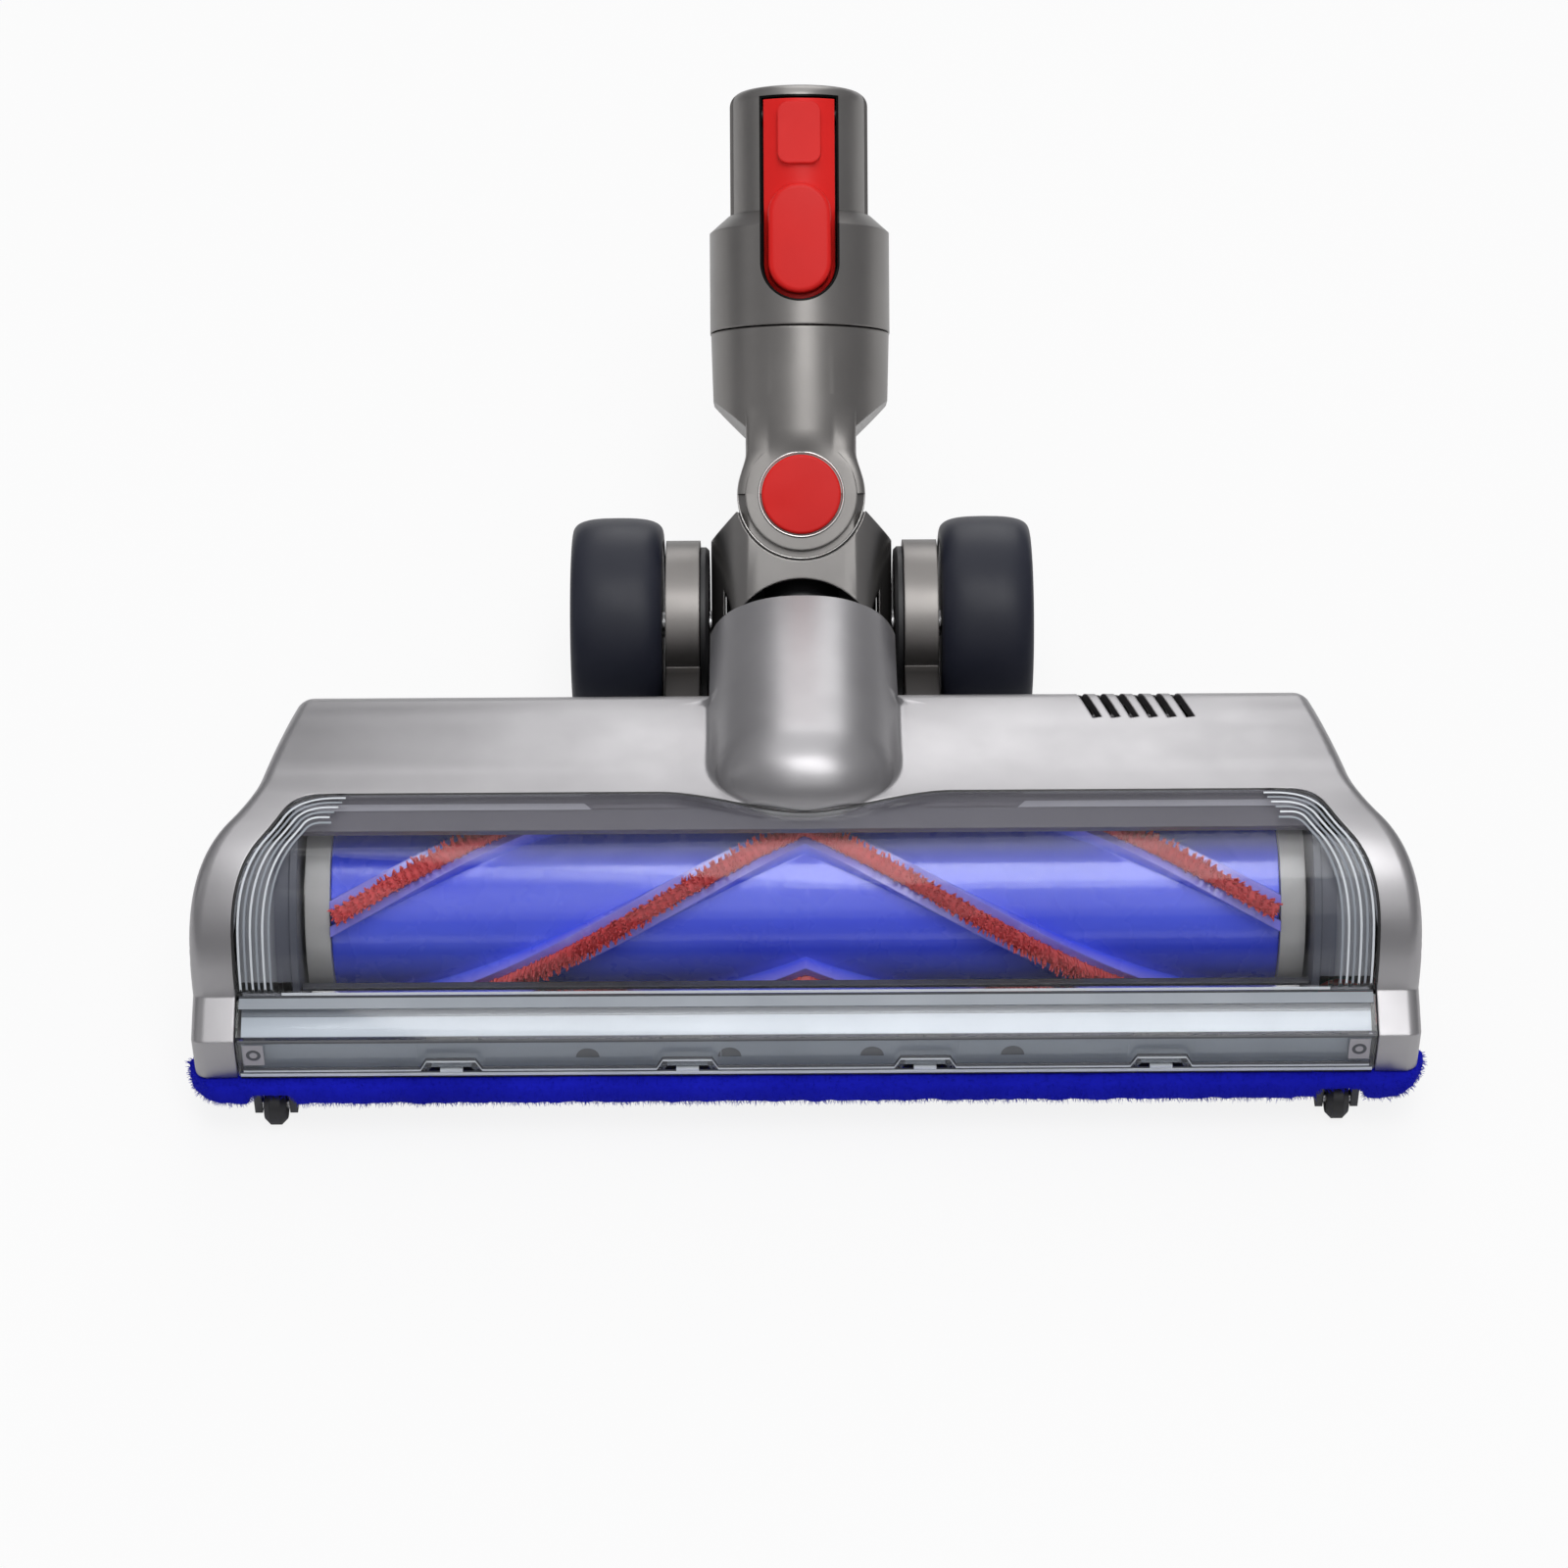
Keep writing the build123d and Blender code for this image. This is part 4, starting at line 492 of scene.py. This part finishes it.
for row in range(ROW_COUNT):
    bristle_row(row)

# Corrugated hose between the hump and the yoke: straight, a bend, then a short run up the neck

HOSE_START, HOSE_HEIGHT, HOSE_SIDES = 49.0, 30.0, 48
HOSE_RISE = HOSE_HEIGHT - PITCH_Z
BEND_RADIUS, BEND_ANGLE = 26.0, math.radians(48.0)
STRAIGHT_STEPS, BEND_STEPS, END_STEPS, END_STEP = 140, 100, 8, 0.5
HOSE_RADIUS, RIB_HEIGHT, RIB_PITCH, RIBS_END, RIBS_FADE = 8.3, 1.9, 3.3, 30, 8.0


def hose_path():
    bend_run = BEND_RADIUS * math.tan(BEND_ANGLE / 2)
    bend_y = PITCH_Y + HOSE_RISE * math.tan(LEAN) - bend_run
    path = [at(0, HOSE_START + (bend_y - HOSE_START) * i / STRAIGHT_STEPS, HOSE_HEIGHT)
            for i in range(STRAIGHT_STEPS)]
    middle = at(0, bend_y, HOSE_HEIGHT + BEND_RADIUS)
    for i in range(BEND_STEPS + 1):
        a = BEND_ANGLE * i / BEND_STEPS
        path.append(middle + Vector((0, math.sin(a), -math.cos(a))) * (BEND_RADIUS * MM))
    rise = HOSE_RISE / math.cos(LEAN) + bend_run
    return path + [neck(rise + i * END_STEP) for i in range(1, END_STEPS + 1)]


def hose_radius(travel):
    """The radius in metres, after so many millimetres of hose: ribs that fade out near the yoke."""
    wave = 0.5 + 0.5 * math.cos(2 * math.pi * travel / RIB_PITCH)
    fade = 1.0 if travel < RIBS_END else max(0.0, 1 - (travel - RIBS_END) / RIBS_FADE)
    return (HOSE_RADIUS + RIB_HEIGHT * wave ** 0.8 * fade) * MM


def corrugated_hose():
    path, travel, verts = hose_path(), 0.0, []
    for i, p in enumerate(path):
        if i:
            travel += (p - path[i - 1]).length / MM
        ahead = path[min(i + 1, len(path) - 1)] - path[max(i - 1, 0)]
        up = ahead.normalized().cross(SIDE).normalized()
        r = hose_radius(travel)
        verts += [p + SIDE * (r * c) + up * (r * s) for c, s in circle(HOSE_SIDES)]
    faces = skin_faces(len(path), HOSE_SIDES, round_cols=True)
    return piece("corrugated_hose", verts, faces, HOSE_BLACK, None, stands_for=("duct_hose",))


hose = corrugated_hose()
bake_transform(hose)

# Latch spring: the leaf lies low enough to stay clear of the pressed latch

LEAF_SEAT, LEAF_KEEP = 8.8, 0.08
leaf = bpy.data.objects.new("leaf_spring", nodes["latch_spring"].data.copy())
for v in leaf.data.vertices:
    rise = (v.co - PITCH).dot(OUT) - LEAF_SEAT * MM
    v.co -= OUT * (max(rise, 0.0) * (1 - LEAF_KEEP))
scene.collection.objects.link(leaf)
leaf.data.materials.clear()
leaf.data.materials.append(STEEL)
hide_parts("latch_spring")
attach(leaf, "neck")

# Tyres: rounded rubber rings with a slight crown, turned round the pitch axis

TYRE_PLACE, TYRE_HALF, TYRE_BORE, TYRE_DEPTH, TYRE_CROWN = 41.1, 10.15, 19.05, 4.93, 0.5
TYRE_SIDES, TYRE_STEPS, TYRE_POWER = 120, 40, 0.5


def tyre(side, sign):
    profile = []
    for i in range(TYRE_STEPS + 1):
        t = math.pi * (i / TYRE_STEPS - 0.5)
        u = math.copysign(abs(math.sin(t)) ** TYRE_POWER, t)
        rise = abs(math.cos(t)) ** TYRE_POWER if 0 < i < TYRE_STEPS else 0.0
        radius = TYRE_BORE + (TYRE_DEPTH - TYRE_CROWN * u * u) * rise
        profile.append((sign * (TYRE_PLACE + TYRE_HALF * u), radius))
    verts = [PITCH + Vector((x, r * c, r * s)) * MM for c, s in circle(TYRE_SIDES) for x, r in profile]
    faces = skin_faces(TYRE_SIDES, len(profile), round_rows=True, round_cols=True)
    return piece("rubber_%s" % side, verts, faces, TYRE, "wheel_%s" % side,
                 stands_for=("tyre_%s" % side,))


for side, sign in SIDES:
    tyre(side, sign)

# A black plate behind the hose, inside the yoke, standing in for the shade there

block("hose_shade_plate", (-17.1, -8.5, -13.2), (17.1, 8.8, -12.4), BLACK,
      place=lambda x, v, w: neck(v, w, x), body="yoke")

# Painted highlights: bright metal rings round the edge of the swivel disc and its red cap

RING_STEPS, WIRE_STEPS = 96, 8


def face_ring(name, radius, thick, w):
    verts = []
    for c, s in circle(RING_STEPS):
        for wire_c, wire_s in circle(WIRE_STEPS):
            r = radius + thick * wire_c
            verts.append(neck(CAP_HEIGHT + r * s, w + thick * wire_s, r * c))
    faces = skin_faces(RING_STEPS, WIRE_STEPS, round_rows=True, round_cols=True)
    return piece(name, verts, faces, EDGE_HIGHLIGHT, "neck")


face_ring("cap_ring", 9.35, 0.28, 19.42)
face_ring("disc_ring", 14.0, 0.22, 16.85)

# Neck front: the flat round the red cap flows up into the round neck

FLAT_TOP, FLAT_LOW = 19.26, 14.4
DISC_REACH, WAIST_HALF, WAIST_SOFT = 14.15, 12.25, 1.6
PIPE_RADIUS, PIPE_SHIFT, EDGE_SHARE = 20.0, 0.55, 0.97
SKIN_START, SKIN_LENGTH, SKIN_ROWS, SKIN_COLS = 28.0, 22.0, 60, 81


def neck_front(u, v):
    """Half width share u in -1..1 and height v give the x and w of a point of the skin."""
    above = v - CAP_HEIGHT
    wide = WAIST_HALF
    if above < DISC_REACH:
        wide = soft_max(wide, math.sqrt(DISC_REACH ** 2 - above ** 2), WAIST_SOFT)
    x = u * wide
    power = 12.0 - 6.0 * ease((above - 5.0) / 5.0)
    flat = FLAT_LOW + (FLAT_TOP - FLAT_LOW) * (1 - abs(u) ** power) ** (1 / power)
    pipe = PIPE_SHIFT + math.sqrt(PIPE_RADIUS ** 2 - x * x)
    if pipe <= flat:
        return x, pipe + (flat - pipe) * (1 - ease((v - 37.0) / 11.0))
    fill = flat + (pipe - flat) * ease((v - 34.0) / 8.2)
    if abs(u) >= EDGE_SHARE:
        fill = min(fill, flat + (pipe - flat) * ease((v - 40.0) / 6.0))
    return x, fill


def neck_skin():
    verts = []
    for j in range(SKIN_ROWS + 1):
        v = SKIN_START + SKIN_LENGTH * j / SKIN_ROWS
        for i in range(SKIN_COLS):
            x, w = neck_front(math.sin(math.pi / 2 * (2.0 * i / (SKIN_COLS - 1) - 1.0)), v)
            verts.append(neck(v, w, x))
    return piece("neck_skin", verts, skin_faces(SKIN_ROWS + 1, SKIN_COLS), NECK_SILVER, "neck")


neck_skin()

# Felt strip: a lumpy pad with a nap of short fibres

FELT_GRID, FELT_SMOOTHING, FELT_PASSES = 0.0008, 0.5, 4
LUMPS = ((260.0, 0.35), (900.0, 0.22))
FIBRES, FIBRE_CHANCE, FIBRE_SPREAD, FIBRE_TILT = 3, 0.62, 0.4, 0.7
FIBRE_SHORT, FIBRE_LONG = 0.35, 0.95
FIBRE_DEPTH, FIBRE_FOOT, FIBRE_TIP = 0.2 * MM, 0.07 * MM, 0.03 * MM


def felt_pad():
    felt = bpy.data.objects.new("felt_pad", nodes["felt_strip"].data.copy())
    scene.collection.objects.link(felt)
    remesh = felt.modifiers.new("even", "REMESH")
    remesh.mode = "VOXEL"
    remesh.voxel_size = FELT_GRID
    rounder = felt.modifiers.new("round", "SMOOTH")
    rounder.factor = FELT_SMOOTHING
    rounder.iterations = FELT_PASSES
    bpy.context.view_layer.update()
    baked = bpy.data.meshes.new_from_object(felt.evaluated_get(bpy.context.evaluated_depsgraph_get()))
    felt.modifiers.clear()
    felt.data = baked
    baked.materials.clear()
    baked.materials.append(FELT)
    baked.shade_smooth()
    normals = [v.normal.copy() for v in baked.vertices]
    for v, normal in zip(baked.vertices, normals):
        v.co += normal * (sum(noise.noise(v.co * scale) * height for scale, height in LUMPS) * MM)
    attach(felt, "head")
    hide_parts("felt_strip")
    return baked


def felt_nap(pad):
    rng = random.Random(11)

    def scatter(reach):
        return Vector([rng.uniform(-reach, reach) for _ in range(3)])

    verts, faces = [], []
    for poly in pad.polygons:
        for _ in range(FIBRES):
            if rng.random() < FIBRE_CHANCE:
                foot = poly.center + scatter(FIBRE_SPREAD) * MM
                ahead = (poly.normal + scatter(1) * FIBRE_TILT).normalized()
                across = ahead.orthogonal().normalized()
                tip = foot + ahead * (rng.uniform(FIBRE_SHORT, FIBRE_LONG) * MM)
                foot -= poly.normal * FIBRE_DEPTH
                first = len(verts)
                verts += [foot - across * FIBRE_FOOT, foot + across * FIBRE_FOOT,
                          tip + across * FIBRE_TIP, tip - across * FIBRE_TIP]
                faces.append((first, first + 1, first + 2, first + 3))
    return piece("felt_nap", verts, faces, FELT, "head", smooth=False)


felt_nap(felt_pad())

# A black plate under the vent slots, standing in for the shade inside them

block("vent_shade_plate", (54, 22, 43.4), (86, 35, 44.6), BLACK)

# Hump skin: the duct hump flows into the housing top with a soft valley

DECK_RADIUS, DECK_END, DECK_ROUND = 134.02, 31.0, 7.0
HUMP_TOP, HUMP_BACK, HUMP_SLOPE = 59.9, 58.0, math.tan(math.radians(7.0))
HUMP_HALF, HUMP_POWER = 20.35, 2.35
NOSE_START, NOSE_LENGTH, NOSE_POWER = 10.6, 17.0, 2.55
HUMP_DEPTH, HUMP_FALL = 14.2, 40.0
VALLEY_HALF, DUCT_HALF, DUCT_END = 30.0, 19.9, 57.9
DIP_LOW, DIP_RISE, DIP_TILT = -6.2, 5.04, 0.56
HUMP_ROWS, HUMP_COLS = 150, 121
LIP_DROP = Vector((0, 0.0002, -0.0016))


def housing_top(y):
    """The height of the housing at y: barrel, shallow deck, then the rounded rear edge."""
    if y < 0:
        return BRUSH_HEIGHT + math.sqrt(BARREL_RADIUS ** 2 - y * y)
    z = BRUSH_HEIGHT + BARREL_RADIUS - DECK_RADIUS + math.sqrt(DECK_RADIUS ** 2 - min(y, DECK_END) ** 2)
    if y > DECK_END:
        z -= DECK_ROUND - math.sqrt(max(0.0, DECK_ROUND ** 2 - (y - DECK_END) ** 2))
    return z


def hump_top(x, y):
    """The height of the duct hump, falling steeply outside its outline."""
    top = HUMP_TOP + (HUMP_BACK - y) * HUMP_SLOPE
    aside, ahead = abs(x) / HUMP_HALF, max(NOSE_START - y, 0.0) / NOSE_LENGTH
    inside = 1.0 - aside ** HUMP_POWER - ahead ** NOSE_POWER
    if inside <= 0:
        return top - HUMP_DEPTH - HUMP_FALL * (math.sqrt(1.0 - inside) - 1.0)
    return top - HUMP_DEPTH * (1.0 - math.sqrt(inside))


def window_edge(x):
    """The y of the window's upper edge, which dips round the hump."""
    t = abs(x) / VALLEY_HALF
    return DIP_LOW + DIP_RISE * ease(t) + DIP_TILT * clamp(t)


def hump_skin():
    verts = []
    for j in range(HUMP_ROWS + 1):
        t = j / HUMP_ROWS
        t = t * t * 0.55 + t * 0.45
        for i in range(HUMP_COLS):
            u = 2.0 * i / (HUMP_COLS - 1) - 1.0
            start = window_edge(VALLEY_HALF * u) + 0.02
            y = start + t * (DUCT_END - start)
            fade = ease((y - 29.0) / 4.0)
            x = u * (VALLEY_HALF + (DUCT_HALF - VALLEY_HALF) * fade)
            soft = 0.8 + 1.6 * clamp((y + 4.5) / 9.0)
            z = soft_max(housing_top(y), hump_top(x, y), soft) if fade < 0.999 else hump_top(x, y)
            z += 0.06 - 0.16 * clamp((abs(x) - 22.0) / 8.0)
            verts.append(at(x, y, z))
    faces = skin_faces(HUMP_ROWS + 1, HUMP_COLS)
    lip = len(verts)
    verts += [v + LIP_DROP for v in verts[:HUMP_COLS]]
    faces += [(i + 1, i, lip + i, lip + i + 1) for i in range(HUMP_COLS - 1)]
    return piece("hump_skin", verts, faces, SILVER, "head")


hump_skin()

# Bumper trim: rim lines that step round the clip notches, edge strips and liners; the pale lines are
# painted highlights, and the dark ones painted shade in the grooves and under the bumper and its brow

BUMPER_FACE, RIM_END = -39.4, 114.6
NOTCHES, NOTCH_FOOT, NOTCH_HEAD = (-72.3, -24.2, 24.2, 72.3), 6.3, 5.0
EDGE_HALF, LINER_HALF = 115.3, 114.8


def rim_line(name, low, high, thick, mat):
    """A thin raised line along the bumper's lower edge, stepping up round each notch."""
    path = [(-RIM_END, low)]
    for place in NOTCHES:
        path += [(place - NOTCH_FOOT, low), (place - NOTCH_HEAD, high),
                 (place + NOTCH_HEAD, high), (place + NOTCH_FOOT, low)]
    path.append((RIM_END, low))
    section = ((0.1, -thick), (-0.28, -thick * 0.6), (-0.28, thick * 0.6), (0.1, thick))
    verts = [at(x, BUMPER_FACE + dy, z + dz) for x, z in path for dy, dz in section]
    return piece(name, verts, bar_faces(len(path), len(section)), mat, "head", smooth=False)


# Painted highlight in the pale rim line, painted shade of the groove in the dark one
rim_line("bumper_rim_light", 15.6, 18.1, 0.26, RIM_LIGHT)
rim_line("bumper_rim_dark", 16.2, 18.75, 0.24, RIM_DARK)
# Painted highlight in the pale edge strip; painted shade in the dark strips at the groove, under the bumper
# and under its brow
strip("bumper_edge_light", [(-39.35, 14.1), (-39.7, 14.2), (-39.7, 14.75), (-39.35, 14.85)],
      EDGE_HALF, RIM_LIGHT)
strip("bumper_edge_dark", [(-39.35, 14.9), (-39.5, 14.92), (-39.5, 15.2), (-39.35, 15.22)],
      EDGE_HALF, RIM_DARK)
strip("bumper_under_dark", [(-39.35, 13.6), (-39.62, 13.65), (-39.62, 14.1), (-39.35, 14.12)],
      EDGE_HALF, BLACK)
strip("bumper_brow_dark", [(-39.44, 23.35), (-39.46, 23.8), (-39.1, 24.02), (-39.1, 23.35)],
      EDGE_HALF, RIM_DARK)
# Painted highlight: a pale strip under the bumper's sloped top
strip("slope_highlight", [(-37.0, 22.35), (-33.2, 24.45), (-33.2, 24.15), (-37.0, 22.05)],
      LINER_HALF, SLOPE_HIGHLIGHT)
strip("ledge_liner", [(-33.1, 24.5), (-31.7, 25.25), (-31.7, 24.95), (-33.1, 24.2)],
      LINER_HALF, FACE_LINER)
strip("face_liner", [(-37.15, 14.6), (-37.15, 22.5), (-36.8, 22.5), (-36.8, 14.6)],
      LINER_HALF, FACE_LINER)

# Bumper details: clip tabs, notch shades, panel lines, and a plate with a ring at each corner

TAB_HALF, SHADE_HALF, PANEL_STEP, LINE_HALF = 2.3, 5.3, 6.9, 0.07
PLATE_INNER, PLATE_OUTER = 110.2, 114.4
CORNER_X, CORNER_Z, CORNER_STEPS = 112.3, 20.1, 24
CORNER_SECTION = ((1.5, -39.5), (1.35, -39.62), (0.95, -39.62), (0.8, -39.5))


def corner_ring(name, x):
    verts = [at(x + r * c, y, CORNER_Z + r * s) for r, y in CORNER_SECTION for c, s in circle(CORNER_STEPS)]
    faces = skin_faces(len(CORNER_SECTION), CORNER_STEPS, round_cols=True)
    return piece(name, verts, faces, RIM_DARK, "head")


for i, place in enumerate(NOTCHES):
    block("clip_tab_%d" % i, (place - TAB_HALF, -39.6, 15.0), (place + TAB_HALF, -37.3, 15.7),
          RIM_LIGHT)
    block("notch_shade_%d" % i, (place - SHADE_HALF, -39.2, 16.2), (place + SHADE_HALF, -37.3, 16.36),
          RIM_DARK)
    for j, x in enumerate((place - PANEL_STEP, place + PANEL_STEP)):
        block("panel_line_%d_%d" % (i, j), (x - LINE_HALF, -39.44, 18.3), (x + LINE_HALF, -39.3, 23.4),
              FACE_LINER)
for i, (_, sign) in enumerate(SIDES):
    low, high = sorted((sign * PLATE_INNER, sign * PLATE_OUTER))
    block("corner_plate_%d" % i, (low, -39.5, 17.3), (high, -39.3, 22.9), LIP_LIGHT)
    corner_ring("corner_ring_%d" % i, sign * CORNER_X)

# Window trim: fine ribs round its ends, a black line of painted shade in the gap round its edge, and the
# lines of its sill: a painted highlight, a painted shade line and a ledge

WINDOW_TOP, WINDOW_CORNER, WINDOW_FOOT, WINDOW_LOWEST = -0.95, 8.0, -30.7, -30.95
WINDOW_HALF, SHOULDER_START, SHOULDER_TURN = 115.65, -27.0, -11.49
OUTER_ARC_X, OUTER_ARC_RADIUS = 91.47, 24.18
INNER_ARC_X, INNER_ARC_Y, INNER_ARC_RADIUS = 136.95, 11.0, 35.1
END_ROWS, CORNER_ROWS, EDGE_ROWS = 40, 14, 60
RIBS, RIB_START, RIB_STEP, RIB_RUN, RIB_HALF, RIB_LIFT = 6, 0.9, 1.25, 2.0, 0.24, 0.06
GAP_OFFSET, GAP_EDGE, GAP_HALF, GAP_LIFT = -0.18, 0.2, 0.3, 0.08
LINE_SINK, SILL_HALF, SILL_LIGHT_HALF = -0.03, 115.2, 106.5


def over_brush(x, y, radius):
    """A point of the barrel of this radius round the brush axis."""
    return at(x, y, BRUSH_HEIGHT + math.sqrt(radius * radius - y * y))


def window_line(name, path, half, lift, mat):
    """A flat raised line laid on the window's outer face along (x, y) points."""
    section = ((-1, LINE_SINK), (-0.6, lift), (0.6, lift), (1, LINE_SINK))
    verts = []
    for i, (x, y) in enumerate(path):
        ahead = Vector(path[min(i + 1, len(path) - 1)]) - Vector(path[max(i - 1, 0)])
        ahead.normalize()
        for s, rise in section:
            px, py = x - ahead.y * half * s, y + ahead.x * half * s
            verts.append(over_brush(px, max(py, WINDOW_LOWEST), BARREL_RADIUS + rise))
    return piece(name, verts, skin_faces(len(path), len(section)), mat, "head")


def window_side(y):
    """Half width of the window at y: straight, then following the two arcs of the shoulder."""
    if y < SHOULDER_START:
        return WINDOW_HALF
    if y < SHOULDER_TURN:
        return OUTER_ARC_X + math.sqrt(OUTER_ARC_RADIUS ** 2 - (y - SHOULDER_START) ** 2)
    return INNER_ARC_X - math.sqrt(INNER_ARC_RADIUS ** 2 - (y - INNER_ARC_Y) ** 2)


def window_end(inset, run):
    """Points up the right end of the window and round its corner, set in from the edge."""
    top = WINDOW_TOP - inset
    bend = max(WINDOW_CORNER - inset, 2.0)
    rise = top - 0.8 * bend - WINDOW_FOOT
    heights = [WINDOW_FOOT + rise * k / END_ROWS for k in range(END_ROWS + 1)]
    path = [(window_side(y) - inset, y) for y in heights]
    start, knee = Vector(path[-1]), Vector((window_side(top) - inset, top))
    stop = knee - Vector((1.1 * bend, 0))
    for t in (k / CORNER_ROWS for k in range(1, CORNER_ROWS + 1)):
        path.append(tuple(start * (1 - t) ** 2 + knee * (2 * t * (1 - t)) + stop * (t * t)))
    path.append((stop.x - run, top))
    return path


def mirrored(path, sign):
    return [(sign * x, y) for x, y in path]


for side, sign in SIDES:
    for k in range(RIBS):
        path = mirrored(window_end(RIB_START + RIB_STEP * k, RIB_RUN), sign)
        window_line("window_rib_%s_%d" % (side, k), path, RIB_HALF, RIB_LIFT,
                    FACE_LINER if k % 2 else RIM_LIGHT)
    # Painted shade: a black line laid in the gap round the window's edge
    path = window_end(GAP_OFFSET, 0.0)
    inward = [path[-1][0] * (1 - k / EDGE_ROWS) for k in range(1, EDGE_ROWS + 1)]
    path += [(x, window_edge(x) - GAP_EDGE) for x in inward]
    window_line("window_gap_shade_%s" % side, mirrored(path, sign), GAP_HALF, GAP_LIFT, HOSE_BLACK)
# Painted highlight in the pale sill line, painted shade in the dark one, along the window's lower edge
strip("sill_light", [(-30.75, 28.55), (-31.0, 28.75), (-30.85, 29.25), (-30.6, 29.2)],
      SILL_LIGHT_HALF, RIM_LIGHT)
strip("sill_dark", [(-31.05, 28.25), (-31.2, 28.3), (-31.0, 28.55), (-30.8, 28.5)],
      SILL_HALF, RIM_DARK)
strip("sill_ledge", [(-33.3, 27.18), (-33.4, 27.3), (-31.3, 28.3), (-31.2, 28.15)],
      SILL_HALF, FACE_LINER)

# Stripes on the chamber's lip over the brush

LIP_RADIUS, LIP_STEPS = 28.6, 8


def lip_stripe(name, sign, outer, inner, y0, y1, slant, mat):
    verts = []
    for i in range(LIP_STEPS + 1):
        y = y0 + (y1 - y0) * i / LIP_STEPS
        verts += [over_brush(sign * x, y, LIP_RADIUS) for x in (outer, inner - slant * i / LIP_STEPS)]
    return piece(name, verts, skin_faces(LIP_STEPS + 1, 2), mat, "head")


for side, sign in SIDES:
    lip_stripe("lip_light_%s" % side, sign, 104.0, 45.0, -1.9, -3.6, 1.6, LIP_LIGHT)
    lip_stripe("lip_dark_%s" % side, sign, 43.2, 25.0, -2.1, -3.3, 1.2, LIP_DARK)

# Half-round bosses behind the bumper's face

BOSSES, BOSS_FACES = (-44.5, -15.6, 13.4, 42.0), (-37.16, -36.86)
BOSS_HALF, BOSS_RISE, BOSS_FOOT, BOSS_STEPS = 2.4, 2.6, 17.6, 24


def bumper_boss(name, place):
    turns = [math.pi * k / BOSS_STEPS for k in range(BOSS_STEPS + 1)]
    verts = [at(place + BOSS_HALF * math.cos(a), y, BOSS_FOOT + BOSS_RISE * math.sin(a))
             for y in BOSS_FACES for a in turns]
    return piece(name, verts, bar_faces(2, len(turns)), RIM_DARK, "head", smooth=False)


for i, place in enumerate(BOSSES):
    bumper_boss("bumper_boss_%d" % i, place)

# Floor and surroundings

FLOOR_REACH, FLOOR_GLOW = 6.0, 0.86


def pale_floor():
    """Paper that is nearly white to the camera, and still takes a soft shadow."""
    n = fresh("pale_floor")
    shade = n.ramp(n.noise(3.0, 2.0), (0.80, 0.80, 0.80), (0.82, 0.82, 0.82))
    paper = n.add("ShaderNodeBsdfDiffuse", {"Color": shade}).outputs["BSDF"]
    white = n.add("ShaderNodeEmission").outputs["Emission"]
    ray = n.add("ShaderNodeLightPath").outputs
    seen = n.maths("MAXIMUM", ray["Is Camera Ray"], ray["Is Transmission Ray"])
    return n.surface(n.mix_shaders(n.maths("MULTIPLY", seen, FLOOR_GLOW), paper, white))


floor_mesh = bpy.data.meshes.new("floor")
floor_corners = [(x * FLOOR_REACH, y * FLOOR_REACH, 0) for x, y in ((-1, -1), (1, -1), (1, 1), (-1, 1))]
floor_mesh.from_pydata(floor_corners, [], [(0, 1, 2, 3)])
floor_mesh.materials.append(pale_floor())
floor = bpy.data.objects.new("floor", floor_mesh)
scene.collection.objects.link(floor)


def studio():
    """A grey sky that is paler above, and plain white to the camera."""
    n = Nodes(bpy.data.worlds.new("studio"), "ShaderNodeOutputWorld")
    grey = n.ramp(n.split("Generated")["Z"], (0.20, 0.20, 0.21), (0.55, 0.55, 0.56), 0.0, 1.0)
    sky, white = (n.add("ShaderNodeBackground", {"Color": colour}).outputs["Background"]
                  for colour in (grey, (1, 1, 1, 1)))
    return n.surface(n.mix_shaders(n.add("ShaderNodeLightPath").outputs["Is Camera Ray"], sky, white))


scene.world = studio()

# Lamps: name, place, target, size and power

LAMPS = (
    ("ceiling", (0.05, 0.95, 1.3), (0.0, 0.62, 0), (0.95, 2.6), 7.6),
    ("over", (0.15, -0.55, 1.5), (0.05, -0.3, 0), (0.6, 0.9), 7.6),
    ("front", (0.25, -1.7, 1.5), (0, 0, 0.05), (1.2, 1.0), 3.2),
    ("rear", (0.14, 2.2, 1.0), (0, 0, 0.05), (1.0, 1.3), 6.6),
    ("left", (-1.5, -0.2, 0.8), (0, 0, 0.05), (0.4, 0.8), 0.4),
)
for name, place, target, lamp_size, power in LAMPS:
    lamp = bpy.data.lights.new(name, "AREA")
    lamp.shape = "RECTANGLE"
    lamp.size, lamp.size_y = lamp_size
    lamp.energy = power
    lamp_object = bpy.data.objects.new(name, lamp)
    scene.collection.objects.link(lamp_object)
    lamp_object.location = place
    lamp_object.rotation_euler = (Vector(target) - Vector(place)).to_track_quat("-Z", "Y").to_euler()

# Camera at the photo's angle

CAMERA_PLACE = (-0.0042, -0.7100, 0.6331)
CAMERA_TILT, CAMERA_ROLL = math.radians(48.0), math.radians(-0.35)
cam = bpy.data.cameras.new("camera")
cam.sensor_width = 36.0
cam.lens = 96.75
camera = bpy.data.objects.new("camera", cam)
scene.collection.objects.link(camera)
camera.location = CAMERA_PLACE
roll = Matrix.Rotation(CAMERA_ROLL, 3, "Z")
camera.rotation_euler = (Matrix.Rotation(CAMERA_TILT, 3, "X") @ roll).to_euler()
scene.camera = camera
scene.view_settings.view_transform = "Standard"
